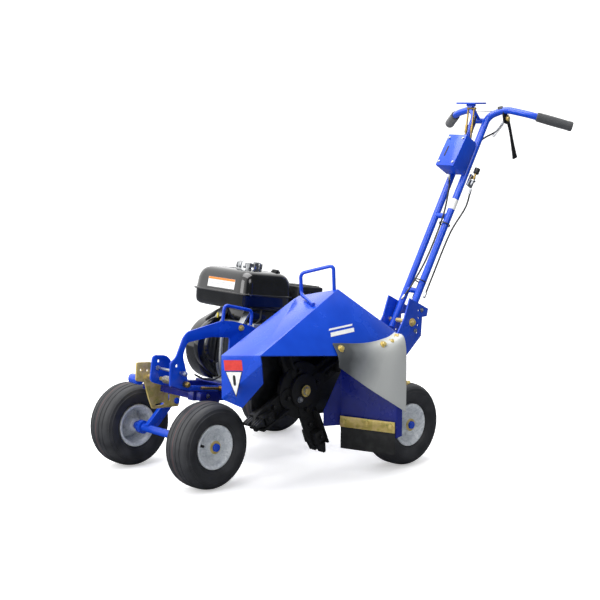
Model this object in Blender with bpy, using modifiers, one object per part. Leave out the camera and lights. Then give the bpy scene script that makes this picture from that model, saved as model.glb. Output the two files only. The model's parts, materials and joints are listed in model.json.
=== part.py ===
"""Walk-behind bed edger with a faceted rotor hood: four wheels, a lateral-shaft engine and a folding handle.

The machine frame has +X towards the operator, +Y towards the engine side and +Z up. Its ground plane is
z = 0 and x = 0 is the front axle. The chassis stands nose up in its transport position.
"""

import math

import bmesh
import bpy
from mathutils import Matrix, Vector

# Driving dimensions, in metres and degrees
WHEEL_RADIUS = 0.1375
TYRE_WIDTH = 0.106
RIM_RADIUS = 0.070
WHEELBASE = 0.6575
FRONT_TRACK_Y = (0.0, 0.397)
REAR_TRACK_Y = (-0.222, 0.400)
AXLE_RADIUS = 0.0125
NOSE_UP = 8.5
SHEET = 0.003
PLATE = 0.006
GAP = 0.0003
RAIL_NEAR_Y = 0.0905
RAIL_FAR_Y = 0.3220
RAIL_WIDTH = 0.025
RAIL_TOP = 0.060
RAIL_BOTTOM = 0.030
DECK_TOP = 0.0665
ARCH_Y = 0.0785
BAR_X = -0.635
ROTOR_CENTRE = Vector((0.306, -0.100, 0.284))
ROTOR_TIP = 0.230
ROTOR_HALF_WIDTH = 0.034
ARM_ANGLES = (203.0, 293.0, 23.0, 113.0)
CRANK_X, CRANK_Z = -0.310, 0.192
FRONT_PIVOT_X, FRONT_PIVOT_Z = -0.572, 0.0
TUBE_RADIUS = 0.0127
COLUMN_Y = (0.0, 0.060)
HANDLE_PIVOT = Vector((0.930, 0.030, 0.420))
ROUND_STEPS = 32


# Scene and materials

def clear_scene():
    for item in list(bpy.data.objects):
        bpy.data.objects.remove(item, do_unlink=True)


def new_collection(name):
    made = bpy.data.collections.new(name)
    bpy.context.scene.collection.children.link(made)
    return made


def linear(channel):
    return channel / 12.92 if channel <= 0.04045 else ((channel + 0.055) / 1.055) ** 2.4


def finish_named(name, hex_colour, roughness, metallic=0.0):
    made = bpy.data.materials.new(name)
    made.use_nodes = True
    shader = made.node_tree.nodes["Principled BSDF"]
    rgb = [linear(int(hex_colour[i:i + 2], 16) / 255) for i in (0, 2, 4)]
    shader.inputs["Base Color"].default_value = (*rgb, 1)
    shader.inputs["Roughness"].default_value = roughness
    shader.inputs["Metallic"].default_value = metallic
    made.diffuse_color = (*rgb, 1)
    return made


clear_scene()
PARTS = new_collection("bed_edger")
HELPERS = new_collection("helpers")

BLUE = finish_named("blue_paint", "1638c4", 0.30)
DEEP_BLUE = finish_named("deep_blue_paint", "14257f", 0.35)
BLACK = finish_named("black_paint", "17181a", 0.35)
MATT_BLACK = finish_named("cast_black", "141415", 0.65)
RUBBER = finish_named("tyre_rubber", "1d1d1e", 0.75)
SHEET_RUBBER = finish_named("sheet_rubber", "5c5e60", 0.60)
RIM_GREY = finish_named("rim_grey", "8d9094", 0.45, 0.2)
ZINC = finish_named("yellow_zinc", "b59a5b", 0.35, 0.9)
BRIGHT = finish_named("bright_steel", "b9bcc0", 0.30, 1.0)
ALLOY = finish_named("cast_alloy", "8f9396", 0.50, 0.8)
GRIP = finish_named("grip_foam", "37383a", 0.85)
PLASTIC = finish_named("black_plastic", "1b1b1c", 0.50)


# Empties: each holds one body, on that body's joint axis where it has one

def empty(name, place, parent=None, pitch=0.0):
    made = bpy.data.objects.new(name, None)
    PARTS.objects.link(made)
    made.parent = parent
    made.location = place
    made.rotation_euler = (0, math.radians(pitch), 0)
    bpy.context.view_layer.update()
    return made


ROOT = empty("machine", (0, 0, 0))
CHASSIS = empty("chassis", (WHEELBASE, 0, WHEEL_RADIUS), ROOT, NOSE_UP)


def in_machine(x, y, z):
    """A chassis place, given in the machine frame."""
    return CHASSIS.matrix_world @ Vector((x, y, z))


# Shapes

def keep(made, name, finish, parent, smooth=None):
    """Names an object, gives it its finish, and hangs it on its body where it stands."""
    made.name = name
    made.data.materials.clear()
    made.data.materials.append(finish)
    for home in list(made.users_collection):
        home.objects.unlink(made)
    PARTS.objects.link(made)
    if smooth and made.type == "MESH":
        made.data.shade_smooth()
        made.data.set_sharp_from_angle(angle=math.radians(smooth))
    if parent:
        made.parent = parent
        made.matrix_parent_inverse = parent.matrix_world.inverted()
    return made


def mesh_object(bm, name="piece"):
    data = bpy.data.meshes.new(name)
    bm.to_mesh(data)
    bm.free()
    made = bpy.data.objects.new(name, data)
    bpy.context.scene.collection.objects.link(made)
    return made


def move_by(made, frame):
    """Moves an object by a frame's matrix, so that it may be written in that frame."""
    bpy.context.view_layer.update()
    made.matrix_world = frame.matrix_world @ made.matrix_world
    return made


def box(low, high):
    bm = bmesh.new()
    bmesh.ops.create_cube(bm, size=1)
    size = [b - a for a, b in zip(low, high)]
    middle = [(a + b) / 2 for a, b in zip(low, high)]
    bmesh.ops.scale(bm, vec=size, verts=bm.verts)
    bmesh.ops.translate(bm, vec=middle, verts=bm.verts)
    return mesh_object(bm)


def rod(start, end, radius, sides=16, end_radius=None):
    start, end = Vector(start), Vector(end)
    bm = bmesh.new()
    bmesh.ops.create_cone(
        bm, cap_ends=True, segments=sides, radius1=radius,
        radius2=radius if end_radius is None else end_radius, depth=(end - start).length)
    made = mesh_object(bm)
    made.rotation_mode = "QUATERNION"
    made.rotation_quaternion = (end - start).to_track_quat("Z", "Y")
    made.location = (start + end) / 2
    return made


def turned(profile, centre, outward, steps=ROUND_STEPS):
    """A profile of (radius, offset) turned about Y; offset runs along outward, which is +1 or -1."""
    bm = bmesh.new()
    points = [bm.verts.new((r, 0, z)) for r, z in profile]
    for first, second in zip(points, points[1:]):
        bm.edges.new((first, second))
    if profile[0][0] > 1e-6:
        bm.edges.new((points[-1], points[0]))
    made = mesh_object(bm)
    screw = made.modifiers.new("turn", "SCREW")
    screw.axis = "Z"
    screw.steps = screw.render_steps = steps
    screw.use_merge_vertices = True
    screw.merge_threshold = 1e-4
    screw.use_smooth_shade = True
    made.rotation_euler = (math.radians(-90 * outward), math.radians(180 / steps), 0)
    made.rotation_mode = "XYZ"
    made.location = centre
    return made


def plate(outline, y_low, y_high, holes=(), hole_sides=12, windows=()):
    """A flat plate in the XZ plane, between two values of Y, with windows and round holes (x, z, radius)."""
    curve = bpy.data.curves.new("plate", "CURVE")
    curve.dimensions = "2D"
    curve.fill_mode = "BOTH"
    curve.extrude = (y_high - y_low) / 2
    rings = [list(outline), *windows]
    for x, z, radius in holes:
        turns = [2 * math.pi * k / hole_sides for k in range(hole_sides)]
        rings.append([(x + radius * math.cos(t), z + radius * math.sin(t)) for t in turns])
    for ring in rings:
        spline = curve.splines.new("POLY")
        spline.points.add(len(ring) - 1)
        spline.use_cyclic_u = True
        for point, (x, z) in zip(spline.points, ring):
            point.co = (x, z, 0, 1)
    made = bpy.data.objects.new("plate", curve)
    bpy.context.scene.collection.objects.link(made)
    made.rotation_euler = (math.radians(90), 0, 0)
    made.location = (0, (y_low + y_high) / 2, 0)
    return as_mesh(made)


def rounded(corners, radius, steps=4):
    """The outline's corners rounded, as points on arcs."""
    points = []
    for i, corner in enumerate(corners):
        here = Vector(corner)
        back = (Vector(corners[i - 1]) - here).normalized()
        ahead = (Vector(corners[(i + 1) % len(corners)]) - here).normalized()
        start, end = here + back * radius, here + ahead * radius
        for k in range(steps + 1):
            t = k / steps
            points.append(tuple(start.lerp(here, t).lerp(here.lerp(end, t), t)))
    return points


def pipe(points, radius, sides=2, bend=0.0, bend_steps=4):
    """A bent tube through points, its corners rounded by bend; sides is the bevel resolution."""
    path = [Vector(points[0])]
    for before, here, after in zip(points, points[1:], points[2:]):
        here, before, after = Vector(here), Vector(before), Vector(after)
        start = here + (before - here).normalized() * bend
        end = here + (after - here).normalized() * bend
        steps = bend_steps if bend else 0
        for k in range(steps + 1):
            t = k / steps if steps else 0
            path.append(start.lerp(here, t).lerp(here.lerp(end, t), t))
    path.append(Vector(points[-1]))
    curve = bpy.data.curves.new("pipe", "CURVE")
    curve.dimensions = "3D"
    curve.bevel_depth = radius
    curve.bevel_resolution = sides
    curve.use_fill_caps = True
    spline = curve.splines.new("POLY")
    spline.points.add(len(path) - 1)
    for point, place in zip(spline.points, path):
        point.co = (*place, 1)
    made = bpy.data.objects.new("pipe", curve)
    bpy.context.scene.collection.objects.link(made)
    return made


def smooth_cable(places, radius, spacing):
    """A cable as a tube along a smooth curve through the places where it is clipped or bends."""
    places = [Vector(place) for place in places]
    ends = [2 * places[0] - places[1], *places, 2 * places[-1] - places[-2]]
    path = []
    for a, b, c, d in zip(ends, ends[1:], ends[2:], ends[3:]):
        steps = max(2, round((c - b).length / spacing))
        for k in range(steps):
            t = k / steps
            path.append(0.5 * (2 * b + (c - a) * t + (2 * a - 5 * b + 4 * c - d) * t ** 2
                               + (3 * b - a - 3 * c + d) * t ** 3))
    path.append(places[-1])
    return pipe(path, radius, 1)


def as_mesh(made):
    """A curve made a mesh whose caps are joined to its sides, which a Boolean can take."""
    bpy.context.view_layer.update()
    graph = bpy.context.evaluated_depsgraph_get()
    data = bpy.data.meshes.new_from_object(made.evaluated_get(graph))
    bm = bmesh.new()
    bm.from_mesh(data)
    bmesh.ops.remove_doubles(bm, verts=bm.verts, dist=1e-6)
    bmesh.ops.recalc_face_normals(bm, faces=bm.faces)
    bm.to_mesh(data)
    bm.free()
    solid = bpy.data.objects.new(made.name, data)
    bpy.context.scene.collection.objects.link(solid)
    solid.matrix_world = made.matrix_world
    bpy.data.objects.remove(made, do_unlink=True)
    return solid


def tool(made):
    """Hides a piece that only cuts or joins another."""
    if made.type == "CURVE":
        made = as_mesh(made)
    made.hide_render = True
    made.display_type = "WIRE"
    for home in list(made.users_collection):
        home.objects.unlink(made)
    HELPERS.objects.link(made)
    return made


def combine(base, pieces, operation="UNION"):
    if base.type == "CURVE":
        base = as_mesh(base)
    for piece in pieces:
        change = base.modifiers.new(operation.lower(), "BOOLEAN")
        change.operation = operation
        change.solver = "EXACT"
        change.object = tool(piece)
    return base


def cut(base, pieces):
    return combine(base, pieces, "DIFFERENCE")


def chassis_all(*pieces):
    """The same pieces, written in the chassis frame, placed on the machine."""
    placed = [move_by(piece, CHASSIS) for piece in pieces]
    return placed if len(placed) > 1 else placed[0]


def sheet_panels(corners, panels, thickness, offset=-1):
    """Folded sheet metal: flat panels between named corners, thickened inwards."""
    bm = bmesh.new()
    verts = {name: bm.verts.new(place) for name, place in corners.items()}
    for panel in panels:
        bm.faces.new([verts[name] for name in panel.split()])
    bmesh.ops.recalc_face_normals(bm, faces=bm.faces)
    made = mesh_object(bm)
    shell = made.modifiers.new("sheet", "SOLIDIFY")
    shell.thickness = thickness
    shell.offset = offset
    shell.use_even_offset = True
    return made


# Wheels

def tyre(name, place, outward, parent):
    half = TYRE_WIDTH / 2
    tread = WHEEL_RADIUS
    profile = [
        (RIM_RADIUS + 0.0012, half * 0.72), (0.088, half * 0.96), (0.106, half), (0.122, half * 0.93),
        (0.132, half * 0.72), (tread, half * 0.36), (tread, -half * 0.36), (0.132, -half * 0.72),
        (0.122, -half * 0.93), (0.106, -half), (0.088, -half * 0.96), (RIM_RADIUS + 0.0012, -half * 0.72)]
    keep(turned(profile, place, outward), name, RUBBER, parent, 40)


def rim(name, place, outward, parent):
    half = TYRE_WIDTH / 2
    bore = AXLE_RADIUS + 0.0006
    profile = [
        (bore, 0.040), (0.021, 0.040), (0.021, 0.026), (0.036, 0.020), (0.054, 0.026), (0.060, 0.036),
        (RIM_RADIUS - 0.003, half * 0.80), (RIM_RADIUS, half * 0.70), (RIM_RADIUS, -half * 0.70),
        (RIM_RADIUS - 0.003, -half * 0.80), (0.060, -0.030), (0.054, 0.018), (0.036, 0.012),
        (0.021, 0.010), (0.021, -0.036), (bore, -0.036)]
    keep(turned(profile, place, outward, 24), name, RIM_GREY, parent, 35)


def wheel(name, x, y, outward, carrier):
    hub = empty(f"{name}_wheel", (x, y, WHEEL_RADIUS))
    hub.parent = carrier
    hub.matrix_parent_inverse = carrier.matrix_world.inverted()
    bpy.context.view_layer.update()
    place = (x, y, WHEEL_RADIUS)
    tyre(f"{name}_tyre", place, outward, hub)
    rim(f"{name}_rim", place, outward, hub)


# Welded frame, in the chassis frame: X along the rails, Z square to them

FRAME_FRONT, FRAME_BACK = -0.660, 0.080


def rail(y):
    half = RAIL_WIDTH / 2
    return box((FRAME_FRONT, y - half, RAIL_BOTTOM), (FRAME_BACK, y + half, RAIL_TOP))


def cross_bar(x, y_low, y_high):
    return box((x - 0.0125, y_low, RAIL_BOTTOM + 0.002), (x + 0.0125, y_high, RAIL_TOP - 0.002))


def axle_hanger(y):
    outline = [(-0.030, -0.018), (0.030, -0.018), (0.045, 0.035), (-0.045, 0.035)]
    return plate(outline, y - 0.004, y + 0.004, [(0, 0, AXLE_RADIUS + GAP)], 16)


def frame():
    far_edge = RAIL_FAR_Y + RAIL_WIDTH / 2 - 0.003
    pieces = [rail(RAIL_FAR_Y)]
    pieces += [cross_bar(BAR_X, 0.057, 0.2580)]
    pieces += [cross_bar(x, low, far_edge) for x, low in ((-0.300, 0.082), (-0.050, -0.140), (0.060, -0.140))]
    pieces += [box((-0.060, -0.150, 0.031), (0.070, -0.125, 0.059))]
    pieces += [axle_hanger(y) for y in (-0.137, RAIL_NEAR_Y, RAIL_FAR_Y)]
    pieces += [pivot_hanger(y) for y in (RAIL_NEAR_Y - 0.004, RAIL_FAR_Y - 0.006)]
    base, *others = chassis_all(rail(RAIL_NEAR_Y), *pieces)
    keep(combine(base, others), "frame", DEEP_BLUE, ROOT)


def pivot_hanger(y):
    x, z = FRONT_PIVOT_X, FRONT_PIVOT_Z
    outline = [(x - 0.018, z - 0.018), (x + 0.018, z - 0.018), (x + 0.030, 0.035), (x - 0.030, 0.035)]
    return plate(outline, y - 0.004, y + 0.004, [(x, z, 0.0103)], 16)


def deck():
    y_low, y_high = ARCH_Y + PLATE + GAP, RAIL_FAR_Y + 0.010
    slab = box((-0.440, y_low, RAIL_TOP + GAP), (-0.090, y_high, DECK_TOP))
    keep(chassis_all(slab), "engine_deck", DEEP_BLUE, ROOT)


def arch():
    """The flat side plate that rises in front of the engine from a lug at its foot."""
    outer = [(-0.640, 0.0605), (-0.700, 0.0605), (-0.755, 0.0740), (-0.762, 0.145), (-0.742, 0.168), (-0.724, 0.228),
             (-0.712, 0.244), (-0.690, 0.256), (-0.571, 0.286), (-0.520, 0.286), (-0.441, 0.274),
             (-0.402, 0.258), (-0.390, 0.0605)]
    inner = rounded([(-0.682, 0.078), (-0.700, 0.130), (-0.718, 0.172), (-0.706, 0.214), (-0.609, 0.234),
                     (-0.529, 0.234), (-0.529, 0.078)], 0.010, 3)
    y_low, y_high = ARCH_Y, ARCH_Y + PLATE
    slab = plate(outer, y_low, y_high, [(-0.728, 0.135, 0.0050), (*LOCK_PIN, 0.0068)], 12, [inner])
    keep(chassis_all(slab), "arch_plate", BLUE, ROOT)


LOCK_PIN = (-0.700, 0.083)


def lock_ear():
    """The upright lug behind the arch's foot: the two hold the lock pin between them."""
    outline = rounded([(-0.738, 0.0720), (-0.690, 0.0605), (-0.636, 0.0605), (-0.644, 0.110), (-0.690, 0.155),
                       (-0.738, 0.150)], 0.008)
    lug = plate(outline, 0.197, 0.203, [(-0.706, 0.136, 0.0050), (*LOCK_PIN, 0.0068)])
    keep(chassis_all(lug), "lock_ear", BLUE, ROOT)
    shelf = box((-0.668, 0.1035, RAIL_TOP - 0.0017), (-0.6230, 0.2580, RAIL_TOP + 0.0002))
    keep(chassis_all(shelf), "lock_shelf", DEEP_BLUE, ROOT)


def lift_handles():
    y = ARCH_Y + PLATE / 2
    loop = pipe([(-0.566, y, 0.2864), (-0.566, y, 0.338), (-0.444, y, 0.324), (-0.444, y, 0.2780)],
                0.0052, 2, 0.018)
    keep(chassis_all(as_mesh(loop)), "lift_handle_front", BLUE, ROOT)
    left, right = Vector((0.378, -0.034, 0.5775)), Vector((0.426, -0.136, 0.6085))
    rise = Vector((-0.004, 0, 0.070))
    foot = Vector((0.306, -0.164, 0.5680))
    loop = pipe([foot, left, left + rise, right + rise, right], 0.0058, 2, 0.016)
    keep(loop, "lift_handle_rear", BLUE, ROOT)


# Rotor hood and chamber, in the machine frame

HOOD = {
    "front_far": (-0.005, -0.079, 0.434),
    "front_near": (-0.005, -0.256, 0.459),
    "lip_near": (-0.005, -0.262, 0.432),
    "lip_far": (-0.005, -0.079, 0.297),
    "chin_low": (0.043, -0.120, 0.268),
    "chin_high": (0.059, -0.200, 0.355),
    "peak": (0.429, -0.150, 0.603),
    "ridge_far": (0.390, -0.010, 0.570),
    "ridge_low": (0.367, -0.008, 0.561),
    "hem": (0.440, -0.300, 0.405),
    "tail_near": (0.600, -0.250, 0.454),
    "tail_far": (0.600, -0.010, 0.450),
    "skirt_tail": (0.600, -0.010, 0.385),
    "skirt_mid": (0.390, -0.010, 0.385),
    "skirt_front": (0.150, -0.051, 0.330),
}
HOOD_PANELS = (
    "front_far front_near peak ridge_far ridge_low",
    "front_near hem peak",
    "peak hem tail_near",
    "peak tail_near tail_far ridge_far",
    "front_far lip_far lip_near front_near",
    "lip_far chin_low chin_high lip_near",
    "front_far ridge_low skirt_front lip_far",
    "ridge_low ridge_far skirt_mid skirt_front",
    "ridge_far tail_far skirt_tail skirt_mid",
)


def hood():
    shell = sheet_panels(HOOD, HOOD_PANELS, SHEET)
    keep(shell, "rotor_hood", BLUE, ROOT)


def chamber_side():
    """The upright plate between the rotor and the belt, hung from the hood's inner edge to the bar."""
    corners = [(0.132, 0.235), (0.132, 0.462), (0.372, 0.548), (0.560, 0.430), (0.560, 0.205), (0.520, 0.170),
               (0.165, 0.205)]
    hole = [(ROTOR_CENTRE.x, ROTOR_CENTRE.z, 0.016)]
    keep(plate(corners, -0.0640, -0.0640 + SHEET, hole, 16), "chamber_side", DEEP_BLUE, ROOT)


def rear_wall():
    """The cross wall behind the rotor, with its outer flange and the low guard beside the rotor."""
    inner_low, outer_low = Vector((0.452, -0.143, 0.150)), Vector((0.512, -0.333, 0.130))
    corners = {
        "a": inner_low, "b": outer_low, "c": (0.512, -0.333, 0.245), "d": (0.500, -0.295, 0.360),
        "e": (0.452, -0.143, 0.400), "f": (0.372, -0.143, 0.160), "g": (0.372, -0.143, 0.212),
        "h": (0.452, -0.143, 0.330), "i": (0.534, -0.337, 0.135), "j": (0.534, -0.337, 0.240)}
    wall = sheet_panels(corners, ("a b c d e h", "f a h g", "b i j c"), SHEET, 0)
    keep(wall, "rear_wall", DEEP_BLUE, ROOT)


def along_wall(start, end, low, high, front, back):
    """A slab lying along the wall between two places, from low to high, from front to back of it."""
    run = Vector(end) - Vector(start)
    length = run.length
    slab = box((0, front, low), (length, back, high))
    turn = Matrix.Rotation(math.atan2(run.y, run.x), 4, "Z")
    slab.matrix_world = Matrix.Translation(Vector(start)) @ turn
    return slab


def skirt_and_strip():
    start, end = (0.450, -0.1465, 0), (0.5095, -0.3325, 0)
    strip = along_wall(start, end, 0.148, 0.184, -0.0092, -0.0056)
    bolts = []
    run = Vector(end) - Vector(start)
    side = Vector((run.y, -run.x, 0)).normalized()
    for share in (0.08, 0.5, 0.93):
        place = Vector(start) + run * share + Vector((0, 0, 0.172))
        bolts.append(rod(place + side * 0.0060, place + side * 0.0140, 0.0075, 6))
    keep(combine(strip, bolts), "skirt_clamp_strip", ZINC, ROOT)
    skirt = along_wall(start, end, 0.075, 0.1795, -0.0053, -0.0020)
    keep(skirt, "rear_skirt", RUBBER, ROOT)


def discharge_flap():
    """The rubber sheet that hangs from the hood over the discharge side."""
    top = [(0.292, -0.2625, 0.4585), (0.418, -0.280, 0.4455), (0.505, -0.290, 0.4520), (0.566, -0.281, 0.4640)]
    hem = [(0.288, -0.2925, 0.4200), (0.432, -0.3100, 0.4050), (0.512, -0.330, 0.4180), (0.566, -0.334, 0.4350)]
    low = [(0.286, -0.2980, 0.3880), (0.405, -0.3150, 0.3050), (0.486, -0.336, 0.2500), (0.556, -0.346, 0.2120)]
    rows = (top, hem, low)
    corners = {f"{r}{c}": place for r, row in enumerate(rows) for c, place in enumerate(row)}
    panels = [f"{r}{c} {r}{c + 1} {r + 1}{c + 1} {r + 1}{c}" for r in range(2) for c in range(3)]
    keep(sheet_panels(corners, panels, SHEET, 0), "discharge_flap", SHEET_RUBBER, ROOT)


# Rotor, turning about Y

def rotor():
    centre = ROTOR_CENTRE
    body = empty("rotor", centre, ROOT)
    y = centre.y
    hub = rod((centre.x, y - 0.024, centre.z), (centre.x, y + 0.030, centre.z), 0.055, 24)
    pieces = []
    for angle in ARM_ANGLES:
        arm = box((0.0, y - 0.006, -0.036), (ROTOR_TIP - 0.012, y + 0.006, 0.036))
        paddle = box((0.085, y - ROTOR_HALF_WIDTH, 0.014), (ROTOR_TIP - 0.020, y + ROTOR_HALF_WIDTH, 0.022))
        tooth = box((ROTOR_TIP - 0.045, y - ROTOR_HALF_WIDTH, -0.018), (ROTOR_TIP, y - 0.004, 0.018))
        twin = box((ROTOR_TIP - 0.060, y + 0.004, -0.018), (ROTOR_TIP - 0.008, y + ROTOR_HALF_WIDTH, 0.018))
        for piece in (arm, paddle, tooth, twin):
            turn = Matrix.Rotation(math.radians(-angle), 4, "Y")
            piece.matrix_world = Matrix.Translation((centre.x, 0, centre.z)) @ turn
            pieces.append(piece)
    bore = rod((centre.x, y - 0.05, centre.z), (centre.x, y + 0.05, centre.z), 0.0128, 16)
    keep(cut(combine(hub, pieces), [bore]), "rotor_arms", MATT_BLACK, body)
    bolt = rod((centre.x, y - 0.036, centre.z), (centre.x, y - 0.0243, centre.z), 0.015, 6)
    shaft = rod((centre.x, y - 0.030, centre.z), (centre.x, 0.076, centre.z), 0.0125, 16)
    keep(combine(shaft, [bolt]), "rotor_shaft", BRIGHT, body)
    keep(pulley(centre.x, centre.z, 0.070), "rotor_pulley", ALLOY, body)


PULLEY_Y = 0.026


def pulley(x, z, radius):
    bore = 0.0128
    profile = [(bore, 0.011), (radius, 0.011), (radius, 0.008), (radius - 0.010, 0.0035),
               (radius - 0.010, -0.0035), (radius, -0.008), (radius, -0.011), (bore, -0.011)]
    return turned(profile, (x, PULLEY_Y, z), 1, 24)


def bearing():
    """The flanged bearing that holds the rotor shaft, bolted beside the frame's near rail."""
    x, z = ROTOR_CENTRE.x, ROTOR_CENTRE.z
    flange = rod((x, 0.0600, z), (x, 0.0775, z), 0.032, 20)
    bore = rod((x, 0.030, z), (x, 0.090, z), 0.0130, 16)
    keep(cut(flange, [bore]), "rotor_bearing", ALLOY, ROOT)


def belt(first, second, radii):
    """A closed belt loop around two pulleys, as a band with round ends."""
    (x1, z1), (x2, z2) = first, second
    gap = math.hypot(x2 - x1, z2 - z1)
    lie = math.atan2(z2 - z1, x2 - x1)
    lean = math.acos((radii[0] - radii[1]) / gap)

    def loop(extra):
        points = []
        for (x, z), radius, start, end in (
                ((x1, z1), radii[0], lie + lean, lie + 2 * math.pi - lean),
                ((x2, z2), radii[1], lie - lean, lie + lean)):
            for k in range(15):
                turn = start + (end - start) * k / 14
                points.append((x + (radius + extra) * math.cos(turn), z + (radius + extra) * math.sin(turn)))
        return points

    band = plate(loop(0.0085), PULLEY_Y - 0.0030, PULLEY_Y + 0.0030)
    hole = plate(loop(0.0005), PULLEY_Y - 0.02, PULLEY_Y + 0.02)
    return cut(band, [hole])


# Front axle group, swinging about the front pivot

def front_pivot_place():
    return in_machine(FRONT_PIVOT_X, 0, FRONT_PIVOT_Z)


def front_axle(body, pivot):
    near, far = FRONT_TRACK_Y
    axle = rod((0, near - 0.050, WHEEL_RADIUS), (0, far + 0.050, WHEEL_RADIUS), AXLE_RADIUS, 20)
    sleeve = rod((0, near + 0.060, WHEEL_RADIUS), (0, far - 0.060, WHEEL_RADIUS), 0.0132, 20)
    collars = [rod((0, y - 0.010, WHEEL_RADIUS), (0, y + 0.010, WHEEL_RADIUS), 0.022, 20)
               for y in (near + 0.068, far - 0.068)]
    pins = [rod((pivot.x, low, pivot.z), (pivot.x, high, pivot.z), 0.010, 16)
            for low, high in ((0.0735, 0.120), (0.2580, 0.3250))]
    arms = []
    run = Vector((pivot.x, 0, pivot.z - WHEEL_RADIUS))
    side = Vector((-run.z, 0, run.x)).normalized() * 0.019
    base = Vector((0, 0, WHEEL_RADIUS))
    for y in (0.116, 0.292):
        outline = [base + side, base - side, base + run * 1.06 - side * 0.8, base + run * 1.06 + side * 0.8]
        arms.append(plate([(p.x, p.z) for p in outline], y - 0.008, y + 0.008))
    keep(combine(axle, [sleeve, *collars, *pins, *arms]), "front_axle", BLUE, body)


def lock_plate(body, pivot):
    """The slotted zinc quadrant beside the far arm, which the lock pin enters."""
    outline = rounded([(-0.068, 0.372), (-0.012, 0.366), (0.008, 0.345), (0.100, 0.262), (0.108, 0.240),
                       (0.100, 0.202), (-0.008, 0.210), (-0.022, 0.246), (-0.038, 0.304), (-0.072, 0.312)],
                      0.006, 3)
    slots = []
    for low, high in (((0.004, 0.2165), (0.042, 0.2245)), ((0.058, 0.226), (0.066, 0.262))):
        slots.append(box((low[0], 0.24, low[1]), (high[0], 0.29, high[1])))
    slab = plate(outline, 0.2620, 0.2680, [(-0.052, 0.345, 0.004), (-0.026, 0.340, 0.004),
                                          (pivot.x, pivot.z, 0.0106)])
    keep(cut(slab, slots), "lock_plate", ZINC, body)
    stub = in_machine(-0.727, 0, 0.067)
    keep(rod((stub.x, 0.2683, stub.z), (stub.x, 0.3120, stub.z), 0.016, 20), "stop_stub", BLUE, body, 40)


def front_group():
    pivot = front_pivot_place()
    body = empty("front_axle_group", pivot, ROOT)
    front_axle(body, pivot)
    lock_plate(body, pivot)
    for name, y, outward in (("front_near", FRONT_TRACK_Y[0], -1), ("front_far", FRONT_TRACK_Y[1], 1)):
        wheel(name, 0, y, outward, body)


def lock_pin():
    """The spring pin between the lugs, drawn back by the release cable."""
    x, z = LOCK_PIN
    body = empty("lock_pin_slide", in_machine(x, 0.165, z), ROOT)
    pin = rod((x, 0.070, z), (x, 0.2605, z), 0.0060, 12)
    collar = rod((x, 0.110, z), (x, 0.182, z), 0.0100, 16)
    base, extra = chassis_all(pin, collar)
    keep(combine(base, [extra]), "lock_pin", ZINC, body)


def rear_axle():
    near, far = REAR_TRACK_Y
    centre = WHEELBASE
    shaft = rod((centre, near - 0.050, WHEEL_RADIUS), (centre, far + 0.050, WHEEL_RADIUS), AXLE_RADIUS, 20)
    keep(shaft, "rear_axle", BLUE, ROOT)
    for name, y, outward in (("rear_near", near, -1), ("rear_far", far, 1)):
        wheel(name, centre, y, outward, ROOT)


# Engine, in the chassis frame

def scroll(inset, steps=56):
    """The fan housing's outline: the fan's own circle drawn out forwards to a second, lower one."""
    circles = ((CRANK_X, CRANK_Z, 0.124), (CRANK_X - 0.066, CRANK_Z - 0.016, 0.109))
    points = []
    for k in range(steps):
        across, up = math.cos(2 * math.pi * k / steps), math.sin(2 * math.pi * k / steps)
        x, z, radius = max(circles, key=lambda c: c[0] * across + c[1] * up + c[2])
        points.append((x + (radius - inset) * across, z + (radius - inset) * up))
    return points


def engine():
    x, z = CRANK_X, CRANK_Z
    low = DECK_TOP + GAP
    block = box((x - 0.085, 0.120, low), (x + 0.085, 0.285, z + 0.085))
    foot = box((x - 0.105, 0.125, low), (x + 0.105, 0.275, low + 0.012))
    boss = rod((x, 0.098, z), (x, 0.125, z), 0.050, 24)
    base, *others = chassis_all(block, foot, boss)
    keep(combine(base, others), "engine_crankcase", ALLOY, ROOT)

    barrel = box((x + 0.0853, 0.150, z - 0.045), (x + 0.175, 0.262, z + 0.070))
    fins = [box((x + 0.100 + 0.020 * k, 0.140, z - 0.055), (x + 0.108 + 0.020 * k, 0.272, z + 0.080))
            for k in range(4)]
    base, *others = chassis_all(barrel, *fins)
    keep(combine(base, others), "engine_cylinder", ALLOY, ROOT)

    base, *others = chassis_all(*[plate(scroll(inset), 0.2870, high)
                                  for inset, high in ((0.0, 0.3500), (0.0050, 0.3580), (0.0140, 0.3630))])
    keep(combine(base, others), "fan_housing", BLACK, ROOT, 40)
    recoil = turned([(0, 0.022), (0.040, 0.022), (0.078, 0.012), (0.086, 0.0), (0, 0.0)],
                    (x, 0.3633, z), 1)
    keep(chassis_all(recoil), "recoil_cover", BLACK, ROOT, 40)

    slide = empty("recoil_slide", in_machine(x + 0.045, 0.376, z + 0.112), ROOT)
    grip = rod((x + 0.020, 0.376, z + 0.114), (x + 0.075, 0.376, z + 0.114), 0.0095, 12)
    keep(chassis_all(grip), "recoil_grip", PLASTIC, slide)


TANK_LOW, TANK_SEAM, TANK_TOP = 0.3165, 0.371, 0.450


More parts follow.
